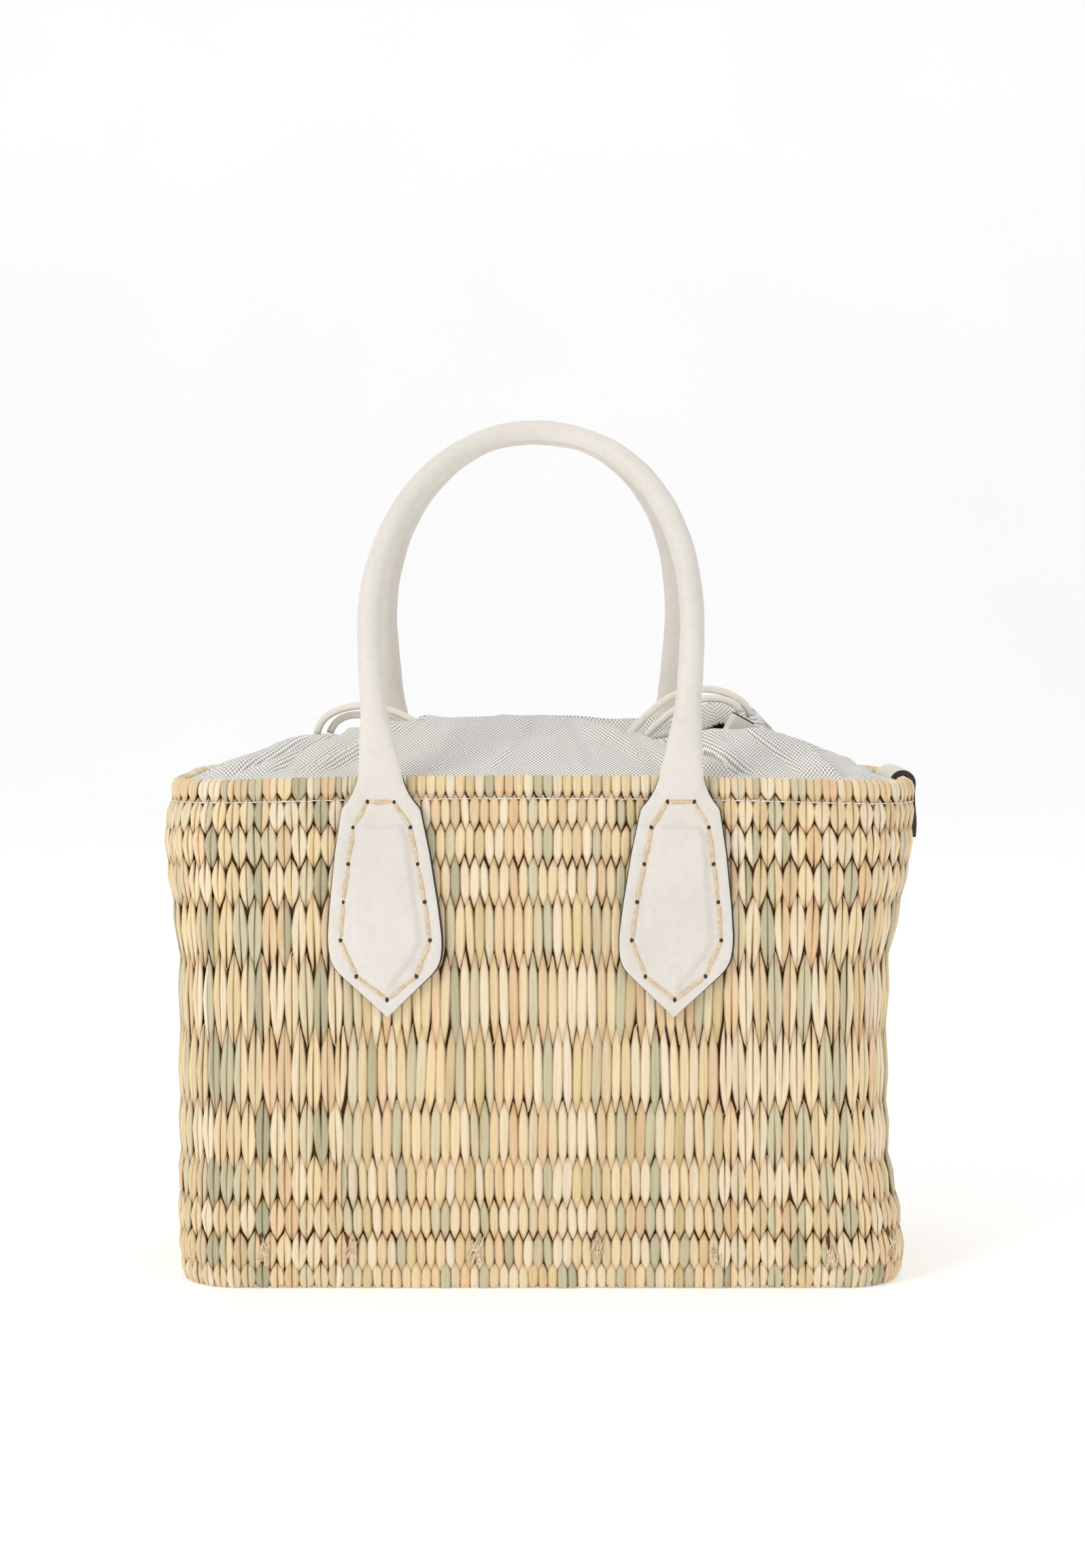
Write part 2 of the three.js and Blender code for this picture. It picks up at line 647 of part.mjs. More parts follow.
const bag = new THREE.Group();
bag.add(basketBody());
bag.add(basketRim());
bag.add(canvasCover());
bag.add(makeMesh("handle_front", handleGeometry(handleTop, 1), leather));
const backHandle = makeMesh("handle_back", handleGeometry(handleTop + backHandleRise, -1), leather);
backHandle.rotation.z = Math.PI;
bag.add(backHandle);
bag.add(sideTab());
for (const name of Object.keys(stringRoutes)) {
  bag.add(drawString(name));
}
for (const sleeve of sleeves) {
  bag.add(stringSleeve(sleeve));
}

export default bag;
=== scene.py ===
import math

import bpy
import numpy as np
from mathutils import Matrix, Vector


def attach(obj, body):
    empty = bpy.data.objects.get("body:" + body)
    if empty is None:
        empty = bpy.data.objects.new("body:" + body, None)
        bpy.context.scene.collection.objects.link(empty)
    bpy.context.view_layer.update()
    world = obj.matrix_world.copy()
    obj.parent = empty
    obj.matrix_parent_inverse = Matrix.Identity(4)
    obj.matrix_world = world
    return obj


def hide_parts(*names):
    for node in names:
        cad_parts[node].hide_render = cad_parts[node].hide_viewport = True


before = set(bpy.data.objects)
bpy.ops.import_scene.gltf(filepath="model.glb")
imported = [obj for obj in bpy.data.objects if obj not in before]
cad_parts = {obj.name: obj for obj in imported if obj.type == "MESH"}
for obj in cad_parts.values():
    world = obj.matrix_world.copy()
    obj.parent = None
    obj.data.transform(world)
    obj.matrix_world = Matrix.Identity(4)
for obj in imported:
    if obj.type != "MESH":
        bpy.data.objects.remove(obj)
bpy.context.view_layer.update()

MM = 0.001
chance = np.random.default_rng(7)

# Sizes of the bag in millimetres, as its solids have them
BASKET_HEIGHT = 216
HALF_WIDTH = 160
HALF_DEPTH = 72.5
CORNER_RADIUS = 40
ROW_BULGE = 1.8
STRAW_WALL = 3
RIM_SHARE = 0.96
RIM_ROLL = 7
RIM_DIP = 3.4
# The straws on the base: pitch across and along them, and height of their middles
BASE_STRAW = 4.3
BASE_ROW = 9.0
BASE_LIFT = 0.35


# Small tools for placing and joining pieces


def deselect_all():
    for thing in list(bpy.context.selected_objects):
        thing.select_set(False)
    bpy.context.view_layer.objects.active = None


def pick(piece):
    deselect_all()
    piece.select_set(True)
    bpy.context.view_layer.objects.active = piece


def edit(piece):
    pick(piece)
    bpy.ops.object.mode_set(mode="EDIT")


def leave_edit():
    bpy.ops.object.mode_set(mode="OBJECT")


def shape_of(piece):
    """The corners and faces of a modelled piece, as an array and lists."""
    mesh = piece.data
    places = np.empty(len(mesh.vertices) * 3)
    mesh.vertices.foreach_get("co", places)
    return places.reshape(-1, 3), [list(face.vertices) for face in mesh.polygons]


def wear(piece, *materials):
    piece.data.materials.clear()
    for material in materials:
        piece.data.materials.append(material)


def paint_faces(piece, marked):
    """Gives the marked faces of a piece its second material."""
    piece.data.polygons.foreach_set("material_index", np.asarray(marked, int).ravel())


def build(name, places, faces, *materials, smooth=True):
    """A piece from corners in millimetres and their faces, turned outwards."""
    mesh = bpy.data.meshes.new(name)
    mesh.from_pydata((np.asarray(places, float) * MM).tolist(), [], faces)
    mesh.update()
    piece = bpy.data.objects.new(name, mesh)
    bpy.context.collection.objects.link(piece)
    if smooth:
        mesh.polygons.foreach_set("use_smooth", [True] * len(mesh.polygons))
    edit(piece)
    bpy.ops.mesh.select_all(action="SELECT")
    bpy.ops.mesh.normals_make_consistent(inside=False)
    leave_edit()
    wear(piece, *materials)
    return piece


def join_loose(bodies, sides):
    """The corners and faces of loose bodies as one. Sides has each body's own faces."""
    faces, start = [], 0
    for corners, own in zip(bodies, sides):
        faces.extend([start + v for v in face] for face in own)
        start += len(corners)
    return np.vstack(bodies), faces


def build_copies(name, bodies, faces, material):
    """One piece from bent copies of one shape, which share their faces."""
    return build(name, *join_loose(bodies, [faces] * len(bodies)), material)


def shade_by_angle(piece, degrees):
    pick(piece)
    bpy.ops.object.shade_smooth_by_angle(angle=math.radians(degrees))


def lay_uv(piece, spots):
    """Lays the piece's pattern map: one spot for each corner point."""
    mesh = piece.data
    layer = mesh.uv_layers.new(name="UVMap")
    order = np.empty(len(mesh.loops), np.int64)
    mesh.loops.foreach_get("vertex_index", order)
    layer.data.foreach_set("uv", np.asarray(spots, float)[order].ravel())


def lay_colour(piece, name, colours):
    layer = piece.data.color_attributes.new(name, "FLOAT_COLOR", "POINT")
    layer.data.foreach_set("color", np.asarray(colours, float).ravel())


def lay_value(piece, name, values):
    layer = piece.data.attributes.new(name, "FLOAT", "POINT")
    layer.data.foreach_set("value", np.asarray(values, float).ravel())


def smoothstep(value):
    value = np.clip(value, 0, 1)
    return value * value * (3 - 2 * value)


def unit(arrows):
    """Arrows brought to a length of one."""
    return arrows / np.linalg.norm(arrows, axis=-1, keepdims=True)


def far_along(points):
    """How far each point of a line lies from its start, along the line."""
    return np.concatenate([[0], np.cumsum(np.linalg.norm(np.diff(points, axis=0), axis=1))])


def from_angle(angle, middle):
    """How far angles lie from a middle one, either way round."""
    return np.abs((angle - np.radians(middle) + np.pi) % (2 * np.pi) - np.pi)


def superround(wave, power):
    """A cosine or sine squared off: the lower the power, the fuller the corners."""
    return np.sign(wave) * np.abs(wave) ** power


def between(table, key, value, column):
    """Reads a table's column at a value of its key column, straight between rows."""
    return np.interp(value, [row[key] for row in table], [row[column] for row in table])


def paint_colour(code):
    """A colour as the eye reads it, turned to the light values that a shader takes."""
    parts = [int(code[i : i + 2], 16) / 255 for i in (0, 2, 4)]
    return [c / 12.92 if c <= 0.04045 else ((c + 0.055) / 1.055) ** 2.4 for c in parts] + [1]


# Camera

camera_data = bpy.data.cameras.new("camera")
camera_data.sensor_width = 36
# The photo's focal length in its pixels, over the height of the photo
camera_data.lens = 36 * 3850 / 2306
camera_data.clip_start = 0.01
camera = bpy.data.objects.new("camera", camera_data)
camera.location = (0, -1.172, 0.283)
camera.rotation_euler = (math.radians(90), 0, 0)
camera_data.shift_x = 0.0074
camera_data.shift_y = -0.1074
bpy.context.collection.objects.link(camera)
bpy.context.scene.camera = camera

# Materials


def feed(made, sockets):
    """Fills a node's sockets, each with another node's output or with a value."""
    for socket, source in sockets.items():
        target = made.inputs[socket]
        if isinstance(source, bpy.types.NodeSocket):
            made.id_data.links.new(source, target)
        else:
            target.default_value = source
    return made


def new_material(name):
    """A material with its shader, and a function that adds filled nodes to it."""
    material = bpy.data.materials.new(name)
    material.use_nodes = True
    tree = material.node_tree

    def node(kind, label=None, sockets=None, **settings):
        made = tree.nodes.new(kind)
        made.label = label or ""
        for key, value in settings.items():
            setattr(made, key, value)
        return feed(made, sockets or {})

    return material, tree.nodes["Principled BSDF"], node


def ramp(node, source, stops, label=None):
    """A colour ramp: stops are (place, grey or colour)."""
    made = node("ShaderNodeValToRGB", label, {"Fac": source})
    points = made.color_ramp.elements
    while len(points) < len(stops):
        points.new(0.5)
    for point, (place, colour) in zip(points, stops):
        point.position = place
        point.color = colour if isinstance(colour, list) else [colour, colour, colour, 1]
    return made.outputs["Color"]


def mixed(node, way, share, first, second, label=None):
    made = node("ShaderNodeMix", label, data_type="RGBA", blend_type=way)
    return feed(made, {0: share, 6: first, 7: second}).outputs[2]


def maths(node, way, first, second=0.5, third=0.0):
    made = node("ShaderNodeMath", operation=way)
    return feed(made, {0: first, 1: second, 2: third}).outputs[0]


def noise(node, label, vector, scale, detail, **more):
    sockets = {"Vector": vector, "Scale": scale, "Detail": detail, **more}
    return node("ShaderNodeTexNoise", label, sockets).outputs[0]


def bumps(node, label, height, strength, distance):
    sockets = {"Height": height, "Strength": strength, "Distance": distance}
    return node("ShaderNodeBump", label, sockets).outputs[0]


def checked_dots(node, run, across, along):
    """Staggered dots like the crossings of a plain weave: 1 on a dot, 0 between them."""
    parts = node("ShaderNodeSeparateXYZ", None, {"Vector": run}).outputs
    a, b = (maths(node, "COSINE", maths(node, "MULTIPLY", part, 2 * math.pi / size))
            for part, size in zip(parts, (across, along)))
    return maths(node, "MULTIPLY_ADD", maths(node, "MULTIPLY", a, b), 0.5, 0.5)


def straw_material():
    """Split straw: own colours, fibres, specks and darker edges, with painted shade at tucked tips
    and edges.
    """
    material, shader, node = new_material("woven_straw")
    run = node("ShaderNodeUVMap", "across and along a straw", uv_map="UVMap").outputs["UV"]

    def reading(name, label):
        return node("ShaderNodeAttribute", label, attribute_name=name).outputs

    def drawn_out(label, scale, detail, roughness=0.5):
        long = node("ShaderNodeMapping", label, {"Vector": run, "Scale": scale}).outputs[0]
        return noise(node, label, long, 1.0, detail, Roughness=roughness)

    colour = reading("straw_colour", "the straw's own colour")["Color"]
    tuck_shade = reading("tuck_shade", "how far it is tucked in")["Fac"]
    edge = reading("edge", "how near its edge")["Fac"]
    fibre = drawn_out("fibres", (5.5, 0.16, 1), 4.0, 0.6)
    streak = drawn_out("streaks", (0.9, 0.035, 1), 2.0)
    speck = drawn_out("specks", (1.1, 0.33, 1), 1.0)
    lines = ramp(node, fibre, [(0.3, 0.88), (0.55, 1.0), (0.75, 1.05)], "fibre shade")
    bands = ramp(node, streak, [
        (0.3, paint_colour("F2E6D0")), (0.55, [1, 1, 1, 1]), (0.75, [1.05, 1.04, 1.02, 1]),
    ], "streak shade")
    dots = ramp(node, speck, [(0.19, 1.0), (0.225, 0.0)], "specks")
    # Painted shade: the tips darken towards brown where they tuck under their neighbours.
    ends = ramp(node, tuck_shade, [(0.55, 0.0), (0.85, 0.4), (1.0, 0.9)], "brown ends")
    # Darker edges: partly the split straw's own edge colour, partly painted shade where
    # neighbouring straws meet.
    edge_tone_and_shade = ramp(node, edge, [(0.3, 0.0), (1.0, 0.95)], "dark edges")
    for way, share, over, label in (
        ("MULTIPLY", 0.8, lines, "fibres"),
        ("MULTIPLY", 0.75, bands, "streaks"),
        ("MIX", maths(node, "MULTIPLY", dots, 0.6), paint_colour("8A6A44"), "specks"),
        # painted shade at the tucked tips
        ("MULTIPLY", ends, paint_colour("B9854C"), "brown ends"),
        # darker edges, partly painted shade
        ("MULTIPLY", edge_tone_and_shade, paint_colour("63421F"), "dark edges"),
    ):
        colour = mixed(node, way, share, colour, over, label)
    feed(shader, {
        "Base Color": colour,
        "Roughness": ramp(node, fibre, [(0.3, 0.62), (0.7, 0.46)], "sheen along the fibres"),
        "Normal": bumps(node, "fibres", fibre, 0.35, 0.00015),
        "Specular IOR Level": 0.35,
        "Sheen Weight": 0.08,
    })
    return material


def mottled_material(name, label, scale, tones, rough, relief=0.0):
    """Two mingled tones: the colour and the sheen both follow one fine noise."""
    material, shader, node = new_material(name)
    place = node("ShaderNodeTexCoord").outputs["Object"]
    grain = noise(node, label, place, scale, 3.0)
    feed(shader, {
        "Base Color": ramp(node, grain, [(stop, paint_colour(code)) for stop, code in tones]),
        "Roughness": ramp(node, grain, [(0.3, rough[0]), (0.7, rough[1])]),
    })
    if relief:
        feed(shader, {"Normal": bumps(node, label, grain, relief, 0.0002)})
    return material


def lining_material():
    """The woven inside: rows of straw with their crossings, drawn and bumped, with painted shade
    in the gaps between them.
    """
    material, shader, node = new_material("woven_lining")
    run = node("ShaderNodeUVMap", "round the bag and up", uv_map="UVMap").outputs["UV"]
    weave = checked_dots(node, run, 2 * BASE_STRAW, 2 * BASE_ROW)
    body = maths(node, "ABSOLUTE", maths(node, "SUBTRACT", weave, 0.5), 0.0)
    tint = noise(node, "tints", run, 0.3, 3.0)
    straw = ramp(node, tint, [
        (stop, paint_colour(code))
        for stop, code in ((0.35, "CDBB94"), (0.5, "E8D4AC"), (0.66, "DFC193"))
    ], "straw colours")
    # Painted shade: the weave darkens in the gaps between the straws.
    gaps = ramp(node, body, [(0.03, 0.45), (0.2, 1.0)], "gaps")
    feed(shader, {
        "Base Color": mixed(node, "MULTIPLY", 1.0, straw, gaps),
        "Roughness": ramp(node, tint, [(0.3, 0.55), (0.7, 0.75)]),
        "Normal": bumps(node, "weave", body, 0.7, 0.001),
    })
    return material


def leather_material(name, code, grain=1400.0, strength=0.3):
    """Smooth ivory leather: fine pebbled grain, faint creases with painted shade in them, and a
    little wear.
    """
    material, shader, node = new_material(name)
    place = node("ShaderNodeTexCoord").outputs["Object"]
    pebble = node("ShaderNodeTexVoronoi", "grain", {
        "Vector": place, "Scale": grain, "Randomness": 1.0,
    }, feature="SMOOTH_F1").outputs["Distance"]
    crease = noise(node, "creases", place, 160.0, 6.0, Roughness=0.65, Distortion=1.2)
    patch = noise(node, "patches", place, 24.0, 3.0)
    worn, clean = ([min(1, c * share) for c in paint_colour(code)[:3]] + [1]
                   for share in (0.955, 1.02))
    tone = ramp(node, patch, [(0.32, worn), (0.68, clean)], "patches")
    # Painted shade: the colour darkens along the creases.
    lines = ramp(node, crease, [(0.38, 0.93), (0.5, 1.0)], "creases")
    height = maths(node, "ADD", maths(node, "MULTIPLY", pebble, 0.5),
                   maths(node, "MULTIPLY", crease, 0.9))
    feed(shader, {
        "Base Color": mixed(node, "MULTIPLY", 0.6, tone, lines, "creases"),
        "Roughness": ramp(node, patch, [(0.3, 0.44), (0.7, 0.56)]),
        "Normal": bumps(node, "grain and creases", height, strength, 0.0003),
        "Specular IOR Level": 0.38,
    })
    return material


def canvas_material(name, light, dark, size):
    """Basket-woven canvas: pale threads standing over grey ones in staggered dots."""
    material, shader, node = new_material(name)
    run = node("ShaderNodeUVMap", "along and across the cloth", uv_map="UVMap").outputs["UV"]
    slub = node("ShaderNodeTexNoise", "uneven threads", {
        "Vector": run, "Scale": 0.35, "Detail": 2.0,
    }).outputs["Color"]
    shifted = node("ShaderNodeVectorMath", "uneven threads", {0: slub, 1: (0.5, 0.5, 0), 2: run},
                   operation="MULTIPLY_ADD").outputs[0]
    dots = checked_dots(node, shifted, *size)
    fuzz = noise(node, "lint", run, 3.0, 4.0)
    patch = noise(node, "patches", run, 0.06, 3.0)
    worn = maths(node, "MULTIPLY_ADD", fuzz, 0.25, maths(node, "SUBTRACT", dots, 0.12))
    threads = [(0.34, paint_colour(dark)), (0.56, paint_colour(light))]
    colour = ramp(node, worn, threads, "pale and grey threads")
    tone = ramp(node, patch, [(0.3, 0.93), (0.7, 1.0)], "patches")
    feed(shader, {
        "Base Color": mixed(node, "MULTIPLY", 0.8, colour, tone),
        "Roughness": ramp(node, dots, [(0.2, 0.95), (0.8, 0.8)]),
        "Normal": bumps(node, "weave", worn, 0.55, 0.0004),
        "Sheen Weight": 0.15,
        "Specular IOR Level": 0.15,
    })
    return material


WOVEN_STRAW = straw_material()
# Painted shade: a dark brown sheet behind the weave, seen only between the straws
WEAVE_SHADE = mottled_material("weave_shade_sheet", "dark straw", 260.0,
                                ((0.35, "4F3315"), (0.7, "83592A")), (0.75, 0.95))
# Pale dry ends of straw
FRAYED = mottled_material("frayed_straw", "fibres", 900.0,
                          ((0.35, "C9A87C"), (0.65, "EFE0C6")), (0.6, 0.8))
LINING = lining_material()
WHITE_THREAD = mottled_material("white_thread", "twist", 900.0,
                                ((0.35, "DCD6CC"), (0.65, "FBF8F2")), (0.6, 0.85), 0.4)
TAN_THREAD = mottled_material("tan_thread", "twist", 900.0,
                              ((0.35, "D0B48E"), (0.65, "E8D3B6")), (0.6, 0.85), 0.4)
# Black paint on the cut edges of the leather
EDGE_PAINT = mottled_material("edge_paint", "paint", 500.0,
                              ((0.3, "1F1D1D"), (0.7, "34312F")), (0.35, 0.55), 0.2)
IVORY_LEATHER = leather_material("ivory_leather", "E4DED5", 1400.0, 0.4)
TRIM_LEATHER = leather_material("trim_leather", "E6DDD0")
STRING_LEATHER = leather_material("string_leather", "EAE3D7", 1800.0, 0.2)
CANVAS_WEAVE = (1.66, 2.6)
CANVAS = canvas_material("canvas", "FAF8F4", "A6A198", CANVAS_WEAVE)
CANVAS_BACK = canvas_material("canvas_back", "D8CCB8", "7C705C", CANVAS_WEAVE)

# The basket's outline at each crease between two rows, as shares of the bag's half width,
# half depth and corner radius
CREASES = [
    {"height": h, "left": a, "right": b, "depth": d, "corner": c}
    for h, a, b, d, c in (
        (0, 0.932, 0.986, 0.985, 0.64),
        (0.041, 0.943, 1.004, 0.995, 0.66),
        (0.102, 0.951, 0.998, 0.995, 0.7),
        (0.163, 0.951, 0.988, 0.995, 0.72),
        (0.241, 0.948, 0.969, 0.989, 0.74),
        (0.352, 0.95, 0.963, 0.993, 0.76),
        (0.495, 0.952, 0.963, 1, 0.78),
        (0.639, 0.955, 0.972, 1, 0.82),
        (0.759, 0.975, 1.008, 1, 0.88),
        (0.833, 0.991, 1.031, 1, 0.93),
        (0.901, 0.997, 1.04, 1, 0.97),
        (0.96, 0.978, 1.042, 1, 1),
        (1, 0.972, 1.042, 1, 1),
    )
]


def outline(share, inset=0.0, corner_steps=14):
    """The basket's plan at a height share: a rounded rectangle from the front's right-hand
    corner round the back to the front again."""
    left = -HALF_WIDTH * between(CREASES, "height", share, "left") + inset
    right = HALF_WIDTH * between(CREASES, "height", share, "right") - inset
    depth = HALF_DEPTH * between(CREASES, "height", share, "depth") - inset
    radius = max(CORNER_RADIUS * between(CREASES, "height", share, "corner") - inset, depth * 0.1)
    plan = []
    for x, y, start in (
        (right - radius, -depth + radius, -90),
        (right - radius, depth - radius, 0),
        (left + radius, depth - radius, 90),
        (left + radius, -depth + radius, 180),
    ):
        for i in range(corner_steps + 1):
            angle = math.radians(start + 90 * i / corner_steps)
            plan.append((x + radius * math.cos(angle), y + radius * math.sin(angle)))
    return np.array(plan)


def arch(share, x):
    """Height of a row at a place along the bag: the rim is arched, the base is flat."""
    return share * BASKET_HEIGHT - RIM_DIP * share**3 * (x / HALF_WIDTH) ** 2


# The wall as a map. A place round the bag is measured from the middle of the front to the
# right, round the back and home again, at the height of MEASURED_AT. On the front and back
# it stays straight above itself at every height.
MEASURED_AT = 0.6
STRAIGHT_LEFT = -100
STRAIGHT_RIGHT = 104
# From the end of a straight stretch to the middle of the corner beside it
HALF_TURN = 25


def walk(share):
    """The outline walked from the middle of the front: its points, how far each is, and
    how far the marks are that every height shares."""
    plan = outline(share)
    start = np.array([0, plan[0, 1]])
    points = np.vstack([start, plan, start])
    far = far_along(points)
    quarter = len(plan) // 4
    right_end = far[1 + quarter] - points[1 + quarter][1]
    back = far[2 * quarter] + points[2 * quarter][0]
    left_end = far[1 + 3 * quarter] + points[1 + 3 * quarter][1]
    marks = [
        0,
        STRAIGHT_RIGHT,
        right_end,
        back - STRAIGHT_RIGHT,
        back,
        back - STRAIGHT_LEFT,
        left_end,
        far[-1] + STRAIGHT_LEFT,
        far[-1],
    ]
    return points, far, marks


LEVELS = np.linspace(0, 1, 145)
_, _, FULL_MARKS = walk(MEASURED_AT)
ROUND = FULL_MARKS[-1]
BACK = FULL_MARKS[4]
PLACES = np.linspace(0, ROUND, 881)


def map_wall():
    x = np.empty((len(LEVELS), len(PLACES)))
    y = np.empty_like(x)
    for i, share in enumerate(LEVELS):
        points, far, marks = walk(share)
        there = np.interp(PLACES, FULL_MARKS, marks)
        x[i] = np.interp(there, far, points[:, 0])
        y[i] = np.interp(there, far, points[:, 1])
    return x, y


WALL_X, WALL_Y = map_wall()
turn_x = np.gradient(WALL_X, axis=1)
turn_y = np.gradient(WALL_Y, axis=1)
turn_x[:, 0] = turn_x[:, -1] = 1
turn_y[:, 0] = turn_y[:, -1] = 0
turn_length = np.hypot(turn_x, turn_y)
OUT_X, OUT_Y = turn_y / turn_length, -turn_x / turn_length


def read_map(grid, place, level):
    """Reads a map of the wall at places round the bag and height shares."""
    column = np.mod(place, ROUND) / ROUND * (len(PLACES) - 1)
    row = np.clip(level, 0, 1) * (len(LEVELS) - 1)
    c = np.minimum(column.astype(int), len(PLACES) - 2)
    r = np.minimum(row.astype(int), len(LEVELS) - 2)
    s, t = column - c, row - r
    low = grid[r, c] * (1 - s) + grid[r, c + 1] * s
    high = grid[r + 1, c] * (1 - s) + grid[r + 1, c + 1] * s
    return low * (1 - t) + high * t


def on_wall(place, height, out):
    """Points of the wall: place round the bag, height, and how far outside the outline."""
    level = np.asarray(height) / BASKET_HEIGHT
    x = read_map(WALL_X, place, level) + out * read_map(OUT_X, place, level)
    y = read_map(WALL_Y, place, level) + out * read_map(OUT_Y, place, level)
    dip = RIM_DIP * np.clip(level, 0, 1) ** 3 * (x / HALF_WIDTH) ** 2
    return np.stack([x, y, height - dip], axis=-1)


# Straws

# How much wider than a regular six-sided rod a straw is
FLATTENED = 1.2


def choose(straw, wanted):
    """Selects the wanted corners and the edges and faces that lie between them."""
    mesh = straw.data
    for corner in mesh.vertices:
        corner.select = wanted(corner.co)
    for part in list(mesh.edges) + list(mesh.polygons):
        part.select = all(mesh.vertices[v].select for v in part.vertices)


def rod(sides, turn):
    """A round rod from -1 to 1 along one axis, to be cut and shaped."""
    deselect_all()
    bpy.ops.mesh.primitive_cylinder_add(
        vertices=sides, radius=1, depth=2, rotation=turn, end_fill_type="NGON"
    )
    bpy.ops.object.transform_apply(location=True, rotation=True, scale=True)
    return bpy.context.object


def cut_across(axis, places):
    """Cuts rings of corners into the piece that is being edited."""
    for place in places:
        bpy.ops.mesh.select_all(action="SELECT")
        bpy.ops.mesh.bisect(plane_co=[place * a for a in axis], plane_no=axis)


def model_straw(stations, inner_edge=False):
    """One straw lying along Z, tip to tip from -1 to 1: six sides, thinned and narrowed at
    each station. With an inner edge it is half of a pair, straight down one side."""
    straw = rod(6, (0, 0, math.radians(30)))
    edit(straw)
    bpy.ops.mesh.select_all(action="SELECT")
    bpy.ops.transform.resize(value=(FLATTENED, 1, 1), center_override=(0, 0, 0))
    cut_across((0, 0, 1), [height for height, _, _ in stations[1:-1]])
    leave_edit()
    for height, width, thickness in stations:
        choose(straw, lambda spot: abs(spot.z - height) < 1e-3)
        edit(straw)
        bpy.ops.transform.resize(
            value=(width, thickness / math.sin(math.radians(60)), 1),
            center_override=(-1 if inner_edge else 0, 0, height),
        )
        leave_edit()
    places, faces = shape_of(straw)
    if inner_edge:
        places[:, 0] = (places[:, 0] + 1) / 2
    bpy.data.objects.remove(straw)
    return places, faces


def model_stitch(sides, stations):
    """A short thread lying along X from -1 to 1, thin at its ends, as corners and faces."""
    thread = rod(sides, (0, math.pi / 2, 0))
    edit(thread)
    cut_across((1, 0, 0), [place for place, _ in stations[1:-1]])
    leave_edit()
    places, faces = shape_of(thread)
    thick = np.interp(places[:, 0], [p for p, _ in stations], [t for _, t in stations])
    places[:, 1:] *= thick[:, None]
    bpy.data.objects.remove(thread)
    return places, faces


def model_ball(segments):
    """A ball of radius 1, to be shaped."""
    deselect_all()
    bpy.ops.mesh.primitive_uv_sphere_add(segments=segments, ring_count=8, radius=1)
    ball = bpy.context.object
    places, faces = shape_of(ball)
    bpy.data.objects.remove(ball)
    return places, faces


# A straw's stations: place from tip to tip, width and thickness
SINGLE = [
    (-1, 0.05, 0.3), (-0.88, 0.26, 0.6), (-0.75, 0.49, 0.8), (-0.48, 0.86, 0.95), (-0.2, 0.97, 1),
    (0.2, 0.97, 1), (0.48, 0.86, 0.95), (0.75, 0.49, 0.8), (0.88, 0.26, 0.6), (1, 0.05, 0.3),
]
PAIRED = [
    (-1, 0.06, 0.3), (-0.86, 0.3, 0.6), (-0.68, 0.6, 0.85), (-0.4, 0.86, 0.96),
    (-0.04, 1.03, 1), (0.04, 1.03, 1), (0.4, 0.86, 0.96), (0.68, 0.6, 0.85),
    (0.86, 0.3, 0.6), (1, 0.06, 0.3),
]
single_straw = model_straw(SINGLE)
paired_straw = model_straw(PAIRED, inner_edge=True)

# Each row: heights of its upper tips, its widest line and its lower tips
ROWS = [
    (208.7, 201.7, 192.2),
    (196.4, 188.0, 177.4),
    (181.9, 171.5, 160.3),
    (167.0, 151.8, 133.7),
    (142.6, 123.3, 100.4),
    (112.8, 89.0, 72.0),
    (80.2, 65.1, 47.6),
    (56.0, 45.4, 32.4),
    (37.8, 29.1, 20.2),
    (24.1, 15.4, 6.5),
    (11.2, 4.6, -3.6),
]

# The rows that part a little where single straws meet pairs
PARTED_ROWS = (4, 5)
# How far above the floor the lowest straws stop
LOWEST_TIP = 0.2

# Pitch of the straws round the bag: single straws at the middle of the front and back,
# pairs elsewhere
SINGLE_PITCH = 4.1
PAIR_PITCH = 6.15
SINGLES_LEFT = -79
SINGLES_RIGHT = 81


def is_single(place):
    """Whether a place lies in the middle stretch of the front or back."""
    place = np.mod(place, ROUND)
    front = (place < SINGLES_RIGHT) | (place > ROUND + SINGLES_LEFT)
    return front | ((place > BACK - SINGLES_RIGHT) & (place < BACK - SINGLES_LEFT))


def lay_columns():
    """The middles of the straws' columns, evenly filling each stretch of the bag."""
    stretches = [
        (SINGLES_LEFT, SINGLES_RIGHT, SINGLE_PITCH),
        (SINGLES_RIGHT, BACK - SINGLES_RIGHT, PAIR_PITCH),
        (BACK - SINGLES_RIGHT, BACK - SINGLES_LEFT, SINGLE_PITCH),
        (BACK - SINGLES_LEFT, ROUND + SINGLES_LEFT, PAIR_PITCH),
    ]
    edges = []
    for start, end, pitch in stretches:
        count = round((end - start) / pitch)
        edges.extend(np.linspace(start, end, count, endpoint=False))
    return np.array(edges + [ROUND + SINGLES_LEFT])


COLUMN_EDGES = lay_columns()
COLUMNS = len(COLUMN_EDGES) - 1


def column_at(index):
    """Place round the bag of a column's left edge; halves lie between two edges."""
    whole = np.floor(index).astype(int)
    turns, step = np.divmod(whole, COLUMNS)
    low = COLUMN_EDGES[step] + turns * ROUND
    high = COLUMN_EDGES[step + 1] + turns * ROUND
    return low + (high - low) * (index - whole)


# Colours of the straws, with how often each is met
STRAW_COLOURS = [
    ("F4E4C4", 0.2), ("F0DBB2", 0.2), ("EBD4A9", 0.16), ("EBCFA6", 0.1), ("E6C79C", 0.04),
    ("DFD2AE", 0.1), ("CFC7A6", 0.09), ("C0B998", 0.05), ("DEC898", 0.04), ("F2E4CA", 0.02),
]


